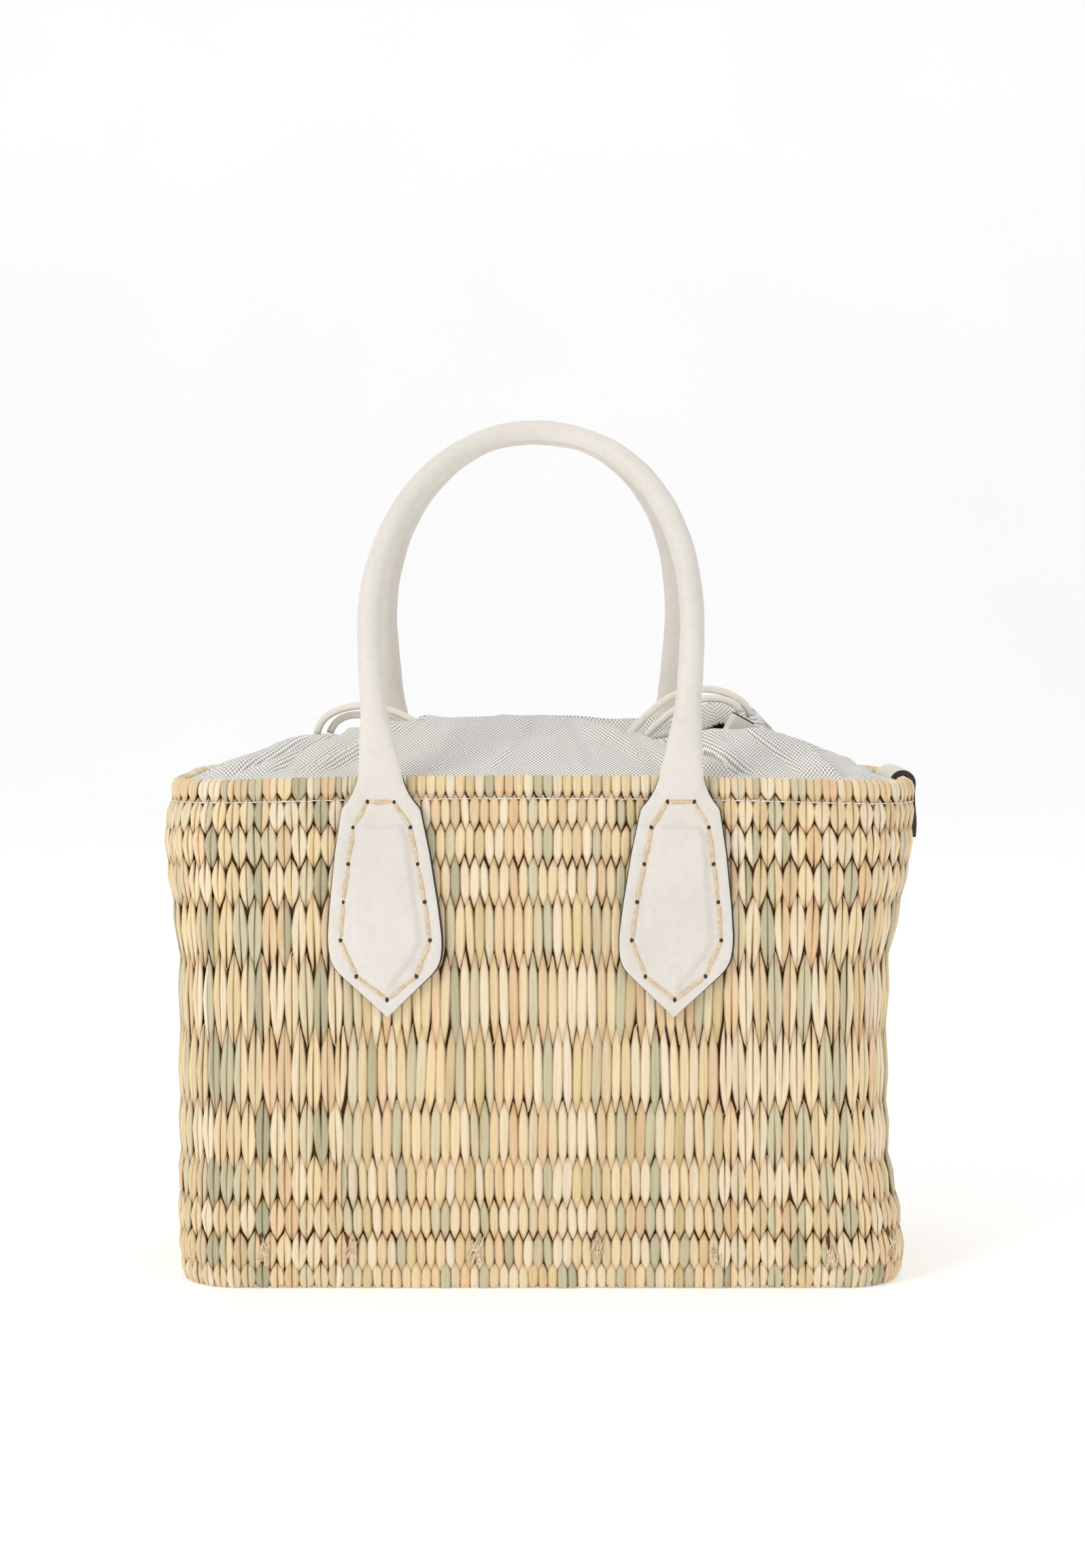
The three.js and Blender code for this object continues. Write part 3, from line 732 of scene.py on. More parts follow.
def pick_colours():
    """A colour for each straw. A straw comes up again in every second row of its column,
    until the next one is laid in."""
    palette = np.array([paint_colour(code)[:3] for code, _ in STRAW_COLOURS])
    shares = np.array([share for _, share in STRAW_COLOURS])
    shares = shares / shares.sum()
    rows = len(ROWS) + 1
    chosen = np.empty((rows, COLUMNS * 2, 3))
    for row in range(rows):
        fresh = palette[chance.choice(len(palette), COLUMNS * 2, p=shares)]
        fresh = fresh * (1 + 0.06 * chance.standard_normal((COLUMNS * 2, 1)))
        fresh = fresh * np.minimum(1, 0.9 / fresh.max(axis=1, keepdims=True))
        if row >= 2:
            kept = chance.random((COLUMNS * 2, 1)) < 0.72
            fresh = np.where(kept, chosen[row - 2], fresh)
        chosen[row] = fresh
    return np.clip(chosen, 0.02, 0.95)


DYES = pick_colours()


def each_column(shift):
    """Every column's number, the sides that its straws lie on, its middle and half width."""
    for step in range(COLUMNS):
        left = column_at(np.array(step + shift))
        right = column_at(np.array(step + shift + 1))
        middle = (left + right) / 2
        for side in (0,) if is_single(middle) else (-1, 1):
            yield step, side, middle, (right - left) / 2


def bend_straw(row, step, side, middle, half):
    """Bends one copy of the modelled straw over the hidden cord of its row. A loose straw
    is its corners, faces, pattern spots, colour, painted shade masks of tip and edge, and place
    round the bag."""
    top, widest, low = ROWS[row]
    places, faces = single_straw if side == 0 else paired_straw
    across, thick, along = places.T
    if side == -1:
        across = -across
    tall = top - low
    give = chance.standard_normal(6)
    swing = 0.012 * tall * give[0]
    upper = top + 0.012 * tall * give[1] + 0.4 * give[2] - widest
    lower = widest - low + 0.012 * tall * give[3]
    nudge = 0.035 * tall * give[4]
    height = widest + nudge * (1 - np.abs(along)) + np.where(along > 0, upper, lower) * along
    spread = half * (0.985 + 0.02 * give[5])
    if side == 0:
        spread *= 1 + 0.05 * give[0]
        bend = -0.1 - 0.85 * np.abs(along) ** 1.6
        body = 0.85
    else:
        bend = -0.05 - 1.25 * np.abs(along) ** 1.1
        body = 0.8
        across = across + side * 0.03
    roll = (0.07 + 0.05 * side) * give[2] * across
    out = bend - body + 0.2 * give[1] + thick * body + roll
    place = middle + across * spread + swing * along
    if row in PARTED_ROWS:
        for parting in (SINGLES_LEFT + ROUND, SINGLES_RIGHT):
            beside = middle - parting
            place = place + 0.6 * np.sign(beside) * math.exp(-abs(beside) / 5)
    lean = 0.02 * tall * give[4] * (np.abs(along) > 0.9) * np.sign(along)
    corners = on_wall(place + lean, height, out)
    corners[:, 2] = np.maximum(corners[:, 2], LOWEST_TIP)
    spots = np.stack([across * half + 7.3 * step + 31 * row, height + 13 * step], axis=-1)
    own_colour = side == 0 or chance.random() < 0.35
    shade = DYES[row, 2 * step + (1 if side == 1 and own_colour else 0)]
    turned = [face[::-1] for face in faces] if side == -1 else faces
    # Masks of painted shade: the tucked tips, and the edges, whose darkening is partly their own
    # colour.
    tuck_shade = np.array([np.abs(along), np.abs(thick) < 0.05], float)
    return corners, turned, spots, shade, tuck_shade, float(middle)


def gather(name, straws):
    """Joins loose straws into one piece."""
    bodies, sides, spots, dyes, shade_masks, _ = zip(*straws)
    piece = build(name, *join_loose(bodies, sides), WOVEN_STRAW, smooth=False)
    lay_uv(piece, np.vstack(spots))
    colours = [np.tile([*dye, 1], (len(body), 1)) for body, dye in zip(bodies, dyes)]
    lay_colour(piece, "straw_colour", np.vstack(colours))
    # The masks of painted shade at the tucked tips and edges
    for attribute, values in zip(("tuck_shade", "edge"), np.hstack(shade_masks)):
        lay_value(piece, attribute, values)
    return piece


def side_of(place):
    """Which of the basket's four sides a place round the bag belongs to."""
    place = place % ROUND
    corner = [STRAIGHT_RIGHT + HALF_TURN, BACK - STRAIGHT_RIGHT - HALF_TURN,
              BACK - STRAIGHT_LEFT + HALF_TURN, ROUND + STRAIGHT_LEFT - HALF_TURN]
    return ["front", "right", "back", "left", "front"][int(np.searchsorted(corner, place))]


def weave_basket():
    sides = {"front": [], "right": [], "back": [], "left": []}
    for row in range(len(ROWS)):
        for column in each_column(0.5 * (row % 2)):
            straw = bend_straw(row, *column)
            sides[side_of(straw[5])].append(straw)
    return [gather(f"straw_{side}", straws) for side, straws in sides.items()]


def close_rings(rings, capped):
    """Faces of a stack of equal rings: ring by ring, then its two ends. Without ends, the
    last ring joins the first."""
    points = np.arange(len(rings) * len(rings[0])).reshape(len(rings), -1)
    below = points[:-1] if capped else points
    above = np.roll(points, -1, axis=0)[: len(below)]
    faces = np.stack([below, np.roll(below, -1, 1), np.roll(above, -1, 1), above], -1)
    ends = [points[0, ::-1].tolist(), points[-1].tolist()] if capped else []
    return faces.reshape(-1, 4).tolist() + ends


def inner_shell():
    """The basket's body behind its straws, dark with painted shade where it shows between them."""

    def ring(share, inset, raise_by=0.0):
        plan = outline(share, inset, 8)
        return np.column_stack([plan, arch(share, plan[:, 0]) + raise_by])

    wall = ROW_BULGE + STRAW_WALL
    outside = [ring(0, 3.4, 1.1)]
    outside += [ring(s, 3.1) for s in np.linspace(0.02, 0.985, 24)]
    inside = [ring(s, wall) for s in np.linspace(0.985, 4 / BASKET_HEIGHT, 12)]
    rings = outside + inside
    return build("basket_inner_shell", np.vstack(rings), close_rings(rings, True), WEAVE_SHADE)


def weave_base():
    """The woven underside: straws laid front to back, facing down."""
    plan = outline(BASE_LIFT / BASKET_HEIGHT, 6, 8)
    places, faces = single_straw
    across, thick, along = places.T
    straws = []
    rows = int(2 * HALF_DEPTH / BASE_ROW) + 1
    for row in range(rows):
        y = (row - (rows - 1) / 2) * BASE_ROW
        for step in range(-40, 41):
            x = (step + 0.5 * (row % 2)) * BASE_STRAW
            near = np.hypot(*(plan - [x, y]).T).min()
            inside = (np.cross(np.roll(plan, -1, axis=0) - plan, [x, y] - plan) > 0).all()
            if not inside or near < BASE_ROW * 0.55:
                continue
            give = chance.standard_normal(2)
            lift = 0.35 * thick - 0.45 * np.abs(along) ** 2 + 0.05 * give[0]
            corners = np.stack([
                x + across * BASE_STRAW * 0.52, y + along * BASE_ROW * 0.93,
                BASE_LIFT - (lift - 0.35),
            ], axis=-1)
            spots = np.stack([across * 2 + 7.3 * step, along * BASE_ROW + 13 * row], axis=-1)
            dye = DYES[2 + row % 2, step % (2 * COLUMNS)]
            # Masks of painted shade at the tucked tips and edges
            tuck_shade = np.array([np.abs(along), np.abs(thick) < 0.05], float)
            straws.append((corners, faces, spots, dye, tuck_shade, x))
    return gather("straw_base", straws)


def weave_lining():
    """The inside of the wall and floor, woven like the outside."""
    count = 240
    turns = np.arange(count) / count * ROUND
    inside = -(ROW_BULGE + STRAW_WALL + 0.3)
    floor = STRAW_WALL + 1.4
    heights = np.linspace(floor + 0.5, BASKET_HEIGHT * 0.955, 89)
    rings, spots = [], []

    def lay_ring(height, out, level=None):
        ring = on_wall(turns, height, out)
        if level is not None:
            ring[:, 2] = level
        rings.append(ring)
        spots.append(np.stack([turns, 0 * turns + height], -1) if level is None else ring[:, :2])

    lay_ring(0 * turns + 4, inside - 9, floor - 0.6)
    lay_ring(0 * turns + 4, inside + 0.2, floor - 0.6)
    for height in heights[::8]:
        lay_ring(0 * turns + height, inside + 0.4)
    for height in heights[::-1]:
        lay_ring(0 * turns + height, inside - 0.4 + 0.4 * math.cos(math.pi / BASE_ROW * height))
    lay_ring(0 * turns + 4, inside - 0.9, floor)
    lay_ring(0 * turns + 4, inside - 9, floor)
    piece = build("basket_lining", np.vstack(rings), close_rings(rings, True), LINING)
    lay_uv(piece, np.vstack(spots))
    return piece


# Knots of straw ends near the base: place round the bag, height and size
KNOTS = [(-113, 16, 1.0), (-77, 17, 1.1), (-24, 16.5, 1.3), (27, 18, 0.9), (77, 14, 0.8),
         (124, 14, 1.2), (152, 17, 1.2)]


def tie_knots():
    """Small bundles of frayed straw ends, each with a dark dome of painted shade in the gap beside
    it.
    """
    strands, pits = [], []
    strand, strand_faces = model_stitch(6, [
        (-1, 0.4), (-0.6, 0.9), (-0.1, 1), (0.4, 0.9), (1, 0.3),
    ])
    run, a, b = strand.T
    pit, pit_faces = model_ball(12)
    x, y, z = pit.T
    for place, height, size in KNOTS:
        beside, over = place - 0.3 + 0.9 * size * x, height + 4.2 * size * z + 3.5
        # A dome of painted shade in the gap beside the knot
        pits.append(on_wall(beside, over, 0.6 * y - 1.1))
        for k in range(8):
            lean, reach = chance.uniform(-0.6, 0.6), size * chance.uniform(2.4, 5.2)
            bow = 1.1 * size * chance.uniform(-1, 1) * (1 - run**2)
            over = run * reach * math.sin(lean) + bow + 0.4 * a * size + chance.uniform(-1.2, 2.2)
            up = run * reach * math.cos(lean) + 0.3 * b + chance.uniform(-1.6, 1.6)
            out = 0.35 * (1 - run**2) + 0.28 * b + 0.25 * k / 6 - 0.15
            strands.append(on_wall(place + 0.8 + over, height + up, out))
    return [build_copies("straw_knots", strands, strand_faces, FRAYED),
            build_copies("knot_gaps", pits, pit_faces, WEAVE_SHADE)]


basket_sides = weave_basket()
shell = inner_shell()
basket_sides.append(weave_base())
knots = tie_knots()
lining = weave_lining()
for piece in basket_sides + [shell, lining] + knots:
    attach(piece, "root")
for piece in basket_sides:
    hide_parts("basket_body")


# Rim: straws that come up outside, over the rolled edge and down inside. Each point of the
# roll's path is how far it lies inside the outline and above the roll's foot.
ROLL_PATH = np.array([
    (1.75, -2.3), (1.3, -1.0), (0.85, 0.8), (0.65, 2.6), (0.7, 4.6), (1.25, 6.4), (2.3, 7.55),
    (3.6, 7.95), (4.9, 7.55), (5.9, 6.3), (6.35, 4.3), (6.3, 2.0), (5.9, 0.0),
])
ROLL_FAR = far_along(ROLL_PATH)


def on_roll(stop):
    return np.array([np.interp(stop, ROLL_FAR, ROLL_PATH[:, k]) for k in (0, 1)])


def on_rim(place, inset, up):
    level = np.full(np.shape(place), RIM_SHARE)
    x = read_map(WALL_X, place, level) - inset * read_map(OUT_X, place, level)
    y = read_map(WALL_Y, place, level) - inset * read_map(OUT_Y, place, level)
    return np.stack([x, y, arch(RIM_SHARE, x) + up], axis=-1)


TONGUE = [
    (-1, 0.12, 0.4), (-0.88, 0.38, 0.7), (-0.74, 0.66, 0.9), (-0.52, 0.93, 1), (-0.3, 0.98, 1),
    (-0.1, 1, 1), (0.1, 1, 1), (0.3, 0.98, 1), (0.55, 0.96, 1), (1, 0.6, 0.7),
]
single_tongue = model_straw(TONGUE)
paired_tongue = model_straw(TONGUE, inner_edge=True)


def wrap_tongue(step, side, middle, half):
    """Bends one copy of the modelled tongue over the rolled edge."""
    places, faces = single_tongue if side == 0 else paired_tongue
    across, thick, along = places.T
    if side == -1:
        across = -across
    stop = ROLL_FAR[-1] * (along + 1) / 2
    inset, up = on_roll(stop)
    ahead, rise = on_roll(stop + 0.3) - on_roll(stop - 0.3)
    length = np.hypot(ahead, rise) + 1e-9
    give = chance.standard_normal(4)
    body = 0.62
    lift = thick * body + 0.12 * give[0] + 0.08 * side * give[1] * across
    inset = inset - lift * rise / length
    up = up + lift * ahead / length + 0.2 * give[2] * (along < -0.8)
    drift = (0.35 + 0.5 * give[3]) * np.clip(-along - 0.55, 0, 1) * half
    place = middle + across * half * (0.97 if side == 0 else 0.98) + drift
    corners = on_rim(place, inset, up)
    spots = np.stack([across * half + 9.1 * step + 400, stop + 17 * step], axis=-1)
    dye = DYES[len(ROWS), 2 * step + (1 if side == 1 and chance.random() < 0.4 else 0)]
    turned = [face[::-1] for face in faces] if side == -1 else faces
    # Masks of painted shade: darker towards the tongue's tucked outer end, and at its edges
    tuck_shade = np.array([np.clip(-along, 0, 1), np.abs(thick) < 0.05], float)
    return corners, turned, spots, dye, tuck_shade, float(middle)


def wrap_rim():
    return gather("rim_straw", [wrap_tongue(*column) for column in each_column(0.5)])


def rim_core():
    """The cord inside the rolled edge, behind its straws, dark with painted shade where it shows.
    """
    places = np.arange(0, ROUND, 4.0)
    rings = [
        on_rim(places, np.full(len(places), inset), up)
        for inset, up in ((4.8, -1.0), (5.3, 2.0), (5.2, 5.0), (3.6, 6.7), (1.8, 5.0),
                          (1.7, 2.0), (2.6, -1.2))
    ]
    return build("rim_core", np.vstack(rings), close_rings(rings, False), WEAVE_SHADE)


rim_thread = model_stitch(5, [
    (-1, 0.5), (-0.8, 0.9), (-0.3, 1), (0.3, 1), (0.8, 0.9), (1, 0.5),
])


def rim_stitches():
    """The white running stitch below the rolled edge, a stitch or two for each straw."""
    places, faces = rim_thread
    run, deep, tall = places.T
    stitches = []
    for step in range(COLUMNS):
        for twist in (0, 1):
            if twist and chance.random() < 0.45:
                continue
            left = column_at(np.array(step + 0.5 + 0.08 * chance.random()))
            right = column_at(np.array(step + 1.45 + 0.1 * chance.random()))
            middle, half = (left + right) / 2, (right - left) / 2
            if twist:
                half *= 0.35 + 0.4 * chance.random()
                middle += (chance.random() - 0.5) * half
            slant = (0.35 if twist else 0.16) * chance.standard_normal()
            up = -1.25 + 0.22 * tall + slant * run + 0.12 * twist + 0.1 * np.cos(3 * run)
            inset = 0.42 - 0.22 * deep + 0.55 * np.abs(run) ** 3 - 0.12 * twist
            stitches.append(on_rim(middle + half * run, inset, up))
    return build_copies("rim_stitches", stitches, faces, WHITE_THREAD)


rim_pieces = [wrap_rim(), rim_core(), rim_stitches()]
for piece in rim_pieces:
    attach(piece, "root")
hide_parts("basket_rim")

# Handles
HANDLE_SPREAD = 137
LEG_SPLAY = 5.3
HANDLE_TOP = 364.2
ARCH_FULLNESS = 2.27
HANDLE_SHOULDER = 280
TUBE = 10.4
TAB_TIP = 114.6
TAB_LENGTH = 101.4
TAB_WIDTH = 48.7
TAB_THICKNESS = 3
TAB_TILT = 3.2
TAB_BACK = HALF_DEPTH + 0.3
HANDLES_APART = 13
NECK_X = HANDLE_SPREAD / 2 - LEG_SPLAY
LEAN = TAB_BACK + TUBE / 2 - HANDLES_APART / 2
# The stretch of each leg where the seam shows its black edge
SLIT_FOOT = 228
SLIT_TOP = 268

# The leg from inside its tab up to the round tube: height, width and thickness
NECK = [
    (-0.17, 1.86, 0.24), (-0.06, 1.84, 0.36), (0, 1.8, 0.42), (0.11, 1.58, 0.54),
    (0.24, 1.38, 0.68), (0.42, 1.09, 0.88), (0.62, 1.03, 0.97), (1, 1, 1),
]


def flowing(table, column, value):
    """Reads a column of a table with a smooth curve through its rows."""
    xs = np.array([row[0] for row in table], float)
    ys = np.array([row[column] for row in table], float)
    slopes = np.gradient(ys, xs)
    value = np.clip(value, xs[0], xs[-1])
    k = np.clip(np.searchsorted(xs, value) - 1, 0, len(xs) - 2)
    width = xs[k + 1] - xs[k]
    t = (value - xs[k]) / width
    return (
        ys[k] * (1 + 2 * t) * (1 - t) ** 2 + slopes[k] * width * t * (1 - t) ** 2
        + ys[k + 1] * t * t * (3 - 2 * t) + slopes[k + 1] * width * t * t * (t - 1)
    )


def lean_at(height, top):
    return LEAN * np.clip((height - BASKET_HEIGHT) / (top - BASKET_HEIGHT), 0, None) ** 1.8


def handle_tube(name, top, full_side):
    """The rolled leather from inside one tab over the arch to the other, with the seam of
    its two edges along the inside of the bend. The arch is fuller on the bag's right."""
    steps = np.concatenate([np.linspace(-0.17, 0.3, 26), np.linspace(0.32, 1, 24)])
    t = np.clip(steps, 0, None)
    leg_x = NECK_X + LEG_SPLAY * (1 - (1 - t) ** 1.3) + np.minimum(steps, 0) * TAB_TILT
    leg_z = BASKET_HEIGHT + steps * (HANDLE_SHOULDER - BASKET_HEIGHT)
    bend = np.pi * (1 - np.arange(1, 84) / 84)
    bulge = np.where(np.cos(bend) * full_side > 0, 2 / ARCH_FULLNESS, 1)
    arch_x = HANDLE_SPREAD / 2 * superround(np.cos(bend), bulge)
    arch_z = HANDLE_SHOULDER + (top - HANDLE_SHOULDER) * np.sin(bend) ** bulge
    x = np.concatenate([-leg_x, arch_x, leg_x[::-1]])
    z = np.concatenate([leg_z, arch_z, leg_z[::-1]])
    full = np.ones(len(bend))
    wide, deep = (
        np.concatenate([leg, full, leg[::-1]])
        for leg in (flowing(NECK, 1, steps), flowing(NECK, 2, steps))
    )
    y = -TAB_BACK - 0.2 - deep * TUBE / 2 + lean_at(z, top)
    middle = np.stack([x, y, z], axis=1)
    along = unit(np.gradient(middle, axis=0))
    slope = lean_at(z + 0.5, top) - lean_at(z - 0.5, top)
    out = unit(np.stack([0 * z, -np.ones(len(z)), slope], axis=1))
    across = unit(np.cross(out, along))
    depth = np.cross(along, across)
    power = 0.55 + 0.45 * np.clip(deep / wide, 0, 1)
    sides = 40
    angle = 2 * np.pi * (np.arange(sides) + 0.5) / sides
    away = from_angle(angle, 188)
    seam = 0.7 * np.exp(-((away / 0.08) ** 2)) - 0.2 * np.exp(-(((away - 0.24) / 0.12) ** 2))
    c, d = np.cos(angle), np.sin(angle)
    rings = []
    for k in range(len(z)):
        w = superround(c, power[k]) * wide[k] * TUBE / 2
        h = superround(d, power[k]) * deep[k] * TUBE / 2
        pinch = seam * smoothstep((deep[k] - 0.5) / 0.3)
        ripple = 0.07 * np.sin(0.9 * k + 3 * c) + 0.05 * np.sin(0.37 * k)
        ripple = ripple - 0.35 * np.exp(-((x[k] + 0.8) ** 2)) * (d > -0.5)
        size = 1 - (pinch - ripple * smoothstep((deep[k] - 0.8) / 0.2)) / (TUBE / 2)
        rings.append(middle[k] + np.outer(w * size, across[k]) + np.outer(h * size, depth[k]))
    piece = build(name, np.vstack(rings), close_rings(rings, True), IVORY_LEATHER, EDGE_PAINT)
    slit = (deep > 0.6) & (z > SLIT_FOOT) & (z < SLIT_TOP)
    paint_faces(piece, np.append(np.outer(slit[:-1], away < 0.09), [0, 0]))
    return piece


# The outline of a tab and of its raised panel: height share from the tip, and half width
TAB_ROWS = [
    (0, 0), (0.178, 0.81), (0.205, 0.905), (0.237, 0.967), (0.29, 0.998), (0.338, 1),
    (0.457, 0.953), (0.684, 0.828), (0.865, 0.688), (0.887, 0.595), (0.926, 0.49),
    (0.966, 0.422), (1.01, 0.376),
]
PANEL_ROWS = [(0.115, 0), (0.25, 0.46), (0.32, 0.6), (0.75, 0.42), (0.775, 0.36)]
PANEL_TOP = 0.79
# The stitch holes on one half of a tab: height, and how far from the tab's middle line
HOLES = [(205, 5.6), (194.3, 12), (178.9, 14.5), (163, 17), (147, 18.7), (131.9, 12.6),
         (122.1, 0)]


def tab_place(height, side, off):
    """X of a point of a tab, from its height share and distance from the middle line."""
    return side * (NECK_X - TAB_TILT * (1 - height)) + off


def hole_ring():
    """All holes of a tab in order round it, as distance from its middle and height."""
    left = [(-off, z) for z, off in HOLES[:-1]]
    return [(off, z) for z, off in HOLES] + left[::-1]


def off_line(x, z, a, b):
    """Distance from points to a straight stretch of the seam."""
    dx, dz = b[0] - a[0], b[1] - a[1]
    t = np.clip(((x - a[0]) * dx + (z - a[1]) * dz) / (dx * dx + dz * dz), 0, 1)
    return np.hypot(x - a[0] - t * dx, z - a[1] - t * dz)


def handle_tab(name, side):
    """A pointed tab: raised padding in the middle, a sunk seam round it, soft edges."""
    heights = np.concatenate([np.linspace(0, 0.36, 46), np.linspace(0.37, 0.85, 60),
                              np.linspace(0.856, 1.01, 26)])
    heights[0] = 0.004
    rows = np.array(TAB_ROWS)
    blur = np.linspace(-0.012, 0.012, 5)
    half = np.mean([np.interp(heights + b, rows[:, 0], rows[:, 1]) for b in blur], axis=0)
    half = half * TAB_WIDTH / 2
    inner = np.linspace(-1, 1, 39)
    spread = np.concatenate([[-1, -0.985], inner[1:-1] * 0.955, [0.966, 0.985, 1]])
    off = half[:, None] * spread[None]
    tall = np.repeat(heights[:, None], len(spread), axis=1)
    z = TAB_TIP + tall * TAB_LENGTH
    x = tab_place(tall, side, off)
    panel = np.array(PANEL_ROWS)
    room = (np.interp(tall, panel[:, 0], panel[:, 1]) * TAB_WIDTH / 2 - np.abs(off)) * 0.9
    room = np.minimum(room, (PANEL_TOP - tall) * TAB_LENGTH)
    room = np.minimum(room, (tall - PANEL_ROWS[0][0]) * TAB_LENGTH * 0.7)
    raised = 1.5 * smoothstep(room / 1.9 + 0.3)
    neck = 0.7 * smoothstep((tall - 0.905) / 0.08) * smoothstep((8.5 - np.abs(off)) / 4)
    ring = hole_ring()
    pairs = zip(ring, ring[1:] + ring[:1])
    seam = np.min([off_line(off, z, a, b) for a, b in pairs], axis=0)
    sunk = 0.4 * np.exp(-((seam / 1.5) ** 2))
    edge = (1 - np.abs(spread))[None] * half[:, None]
    round_off = 0.6 * (1 - smoothstep(edge / 1.3)) ** 2
    ripple = 0.16 * np.sin(off * 0.45 + z * 0.13) * np.sin(z * 0.21 + side)
    ripple += 0.14 * np.sin(z * 0.9 + 2.2 * np.sin(off * 0.4)) * np.sin(z * 0.37 + 2 * side)
    front = -(TAB_BACK + TAB_THICKNESS + raised + neck - sunk - round_off + ripple * (room < -1))
    back = np.full_like(front, -TAB_BACK)
    many, wide = off.shape
    places = np.vstack([np.stack([x, front, z], -1).reshape(-1, 3),
                        np.stack([x, back, z], -1).reshape(-1, 3)])
    faces, painted = [], []
    skip = many * wide
    for r in range(many - 1):
        for c in range(wide - 1):
            a = r * wide + c
            faces.append([a, a + 1, a + 1 + wide, a + wide])
            painted.append(c in (0, wide - 3, wide - 2))
            faces.append([skip + a, skip + a + wide, skip + a + 1 + wide, skip + a + 1])
            painted.append(False)
        for c in (0, wide - 1):
            a = r * wide + c
            wall = [a, a + wide, skip + a + wide, skip + a]
            faces.append(wall if c == 0 else wall[::-1])
            painted.append(True)
    for r in (0, many - 1):
        for c in range(wide - 1):
            a = r * wide + c
            wall = [a, skip + a, skip + a + 1, a + 1]
            faces.append(wall if r == 0 else wall[::-1])
            painted.append(r == 0)
    piece = build(name, places, faces, IVORY_LEATHER, EDGE_PAINT)
    paint_faces(piece, painted)
    shade_by_angle(piece, 50)
    return piece


def model_hole():
    """A punched hole's mouth, dark with painted shade: a low dome drawn in at its middle."""
    places, faces = model_ball(14)
    reach = np.hypot(places[:, 0], places[:, 2])
    places = places * [0.85, 0.36, 1.1]
    drawn_in = (places[:, 1] < 0) & (reach < 0.6)
    places[:, 1] += drawn_in * 0.3 * (0.6 - reach)
    return places, faces


hole, hole_faces = model_hole()
tab_thread = model_stitch(10, [
    (-1, 0.35), (-0.93, 0.75), (-0.8, 0.95), (-0.4, 1), (0.1, 0.97), (0.5, 1), (0.8, 0.95),
    (0.93, 0.75), (1, 0.35),
])


def tab_sewing(name, side):
    """The long tan stitches of a tab, and the punched holes that they run between, dark with
    painted shade.
    """
    threads, holes = [], []
    thread, thread_faces = tab_thread
    run, deep, tall = thread.T
    face_y = -(TAB_BACK + TAB_THICKNESS) + 0.4
    spots = np.array([
        [tab_place((z - TAB_TIP) / TAB_LENGTH, side, off), z] for off, z in hole_ring()
    ])
    for i, (a, b) in enumerate(zip(spots, np.roll(spots, -1, axis=0))):
        # Each hole's dark dome is painted shade, in the black edge paint.
        holes.append(hole + [a[0], face_y - 0.1, a[1]])
        length = np.hypot(*(b - a))
        ahead = (b - a) / length
        reach = run * (length / 2 - 0.35)
        over = tall * 0.82 + 0.18 * np.sin(run * 3.1 + i)
        lift = -deep * 0.6 - 0.3 * (1 - run**4)
        x = (a[0] + b[0]) / 2 + ahead[0] * reach - ahead[1] * over
        z = (a[1] + b[1]) / 2 + ahead[1] * reach + ahead[0] * over
        threads.append(np.stack([x, face_y + 0.12 + lift, z], axis=-1))
    return [build_copies(f"{name}_stitches", threads, thread_faces, TAN_THREAD),
            build_copies(f"{name}_holes", holes, hole_faces, EDGE_PAINT)]


def turn_round(piece):
    """Turns a piece half round the bag's middle."""
    piece.data.transform(Matrix.Rotation(math.pi, 4, "Z"))
    return piece


def make_handle(which, top):
    pieces = [handle_tube(f"{which}_handle_roll", top, 1 if which == "front" else -1)]
    for side, word in ((-1, "left"), (1, "right")):
        pieces.append(handle_tab(f"{which}_{word}_tab", side))
        pieces.extend(tab_sewing(f"{which}_{word}_tab", side))
    if which == "back":
        pieces = [turn_round(piece) for piece in pieces]
    for piece in pieces:
        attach(piece, "root")
    for piece in pieces:
        if piece.name.endswith(("roll", "tab")):
            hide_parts(f"handle_{which}")


make_handle("front", HANDLE_TOP)
make_handle("back", HANDLE_TOP + 1.5)


# Canvas cover
CLOTH = 1.2
HEM = 16
COVER_RISE = 22.5
MOUTH_LENGTH = 228
MOUTH_WIDTH = 12
LIP = 7

# The gathered mouth from its left end to its right: along, how far its front and back lie
# apart, and how high they stand
MOUTH = [
    (-0.98, 0.4, 0.4, 0.25, 0.22), (-0.9, 1.1, 1.2, 0.42, 0.32), (-0.8, 1.4, 1.8, 0.62, 0.44),
    (-0.73, 1.2, 1.5, 0.61, 0.58), (-0.66, 1, 1.2, 0.69, 0.68), (-0.54, 1, 1.1, 0.83, 0.8),
    (-0.38, 1, 1, 0.93, 0.9), (-0.14, 1, 1, 0.98, 0.95), (0.05, 1, 1, 0.97, 0.97),
    (0.19, 1.1, 1, 0.94, 0.95), (0.31, 1.5, 1, 0.72, 0.9), (0.42, 2.4, 1, 0.6, 0.9),
    (0.53, 3.5, 1.3, 0.58, 0.96), (0.65, 4.2, 2.3, 0.75, 1.08), (0.74, 4.2, 2.8, 0.77, 1.28),
    (0.85, 3.4, 2.7, 0.71, 1.2), (0.95, 1.8, 1.6, 0.46, 0.56), (1.02, 0.4, 0.4, 0.3, 0.3),
]

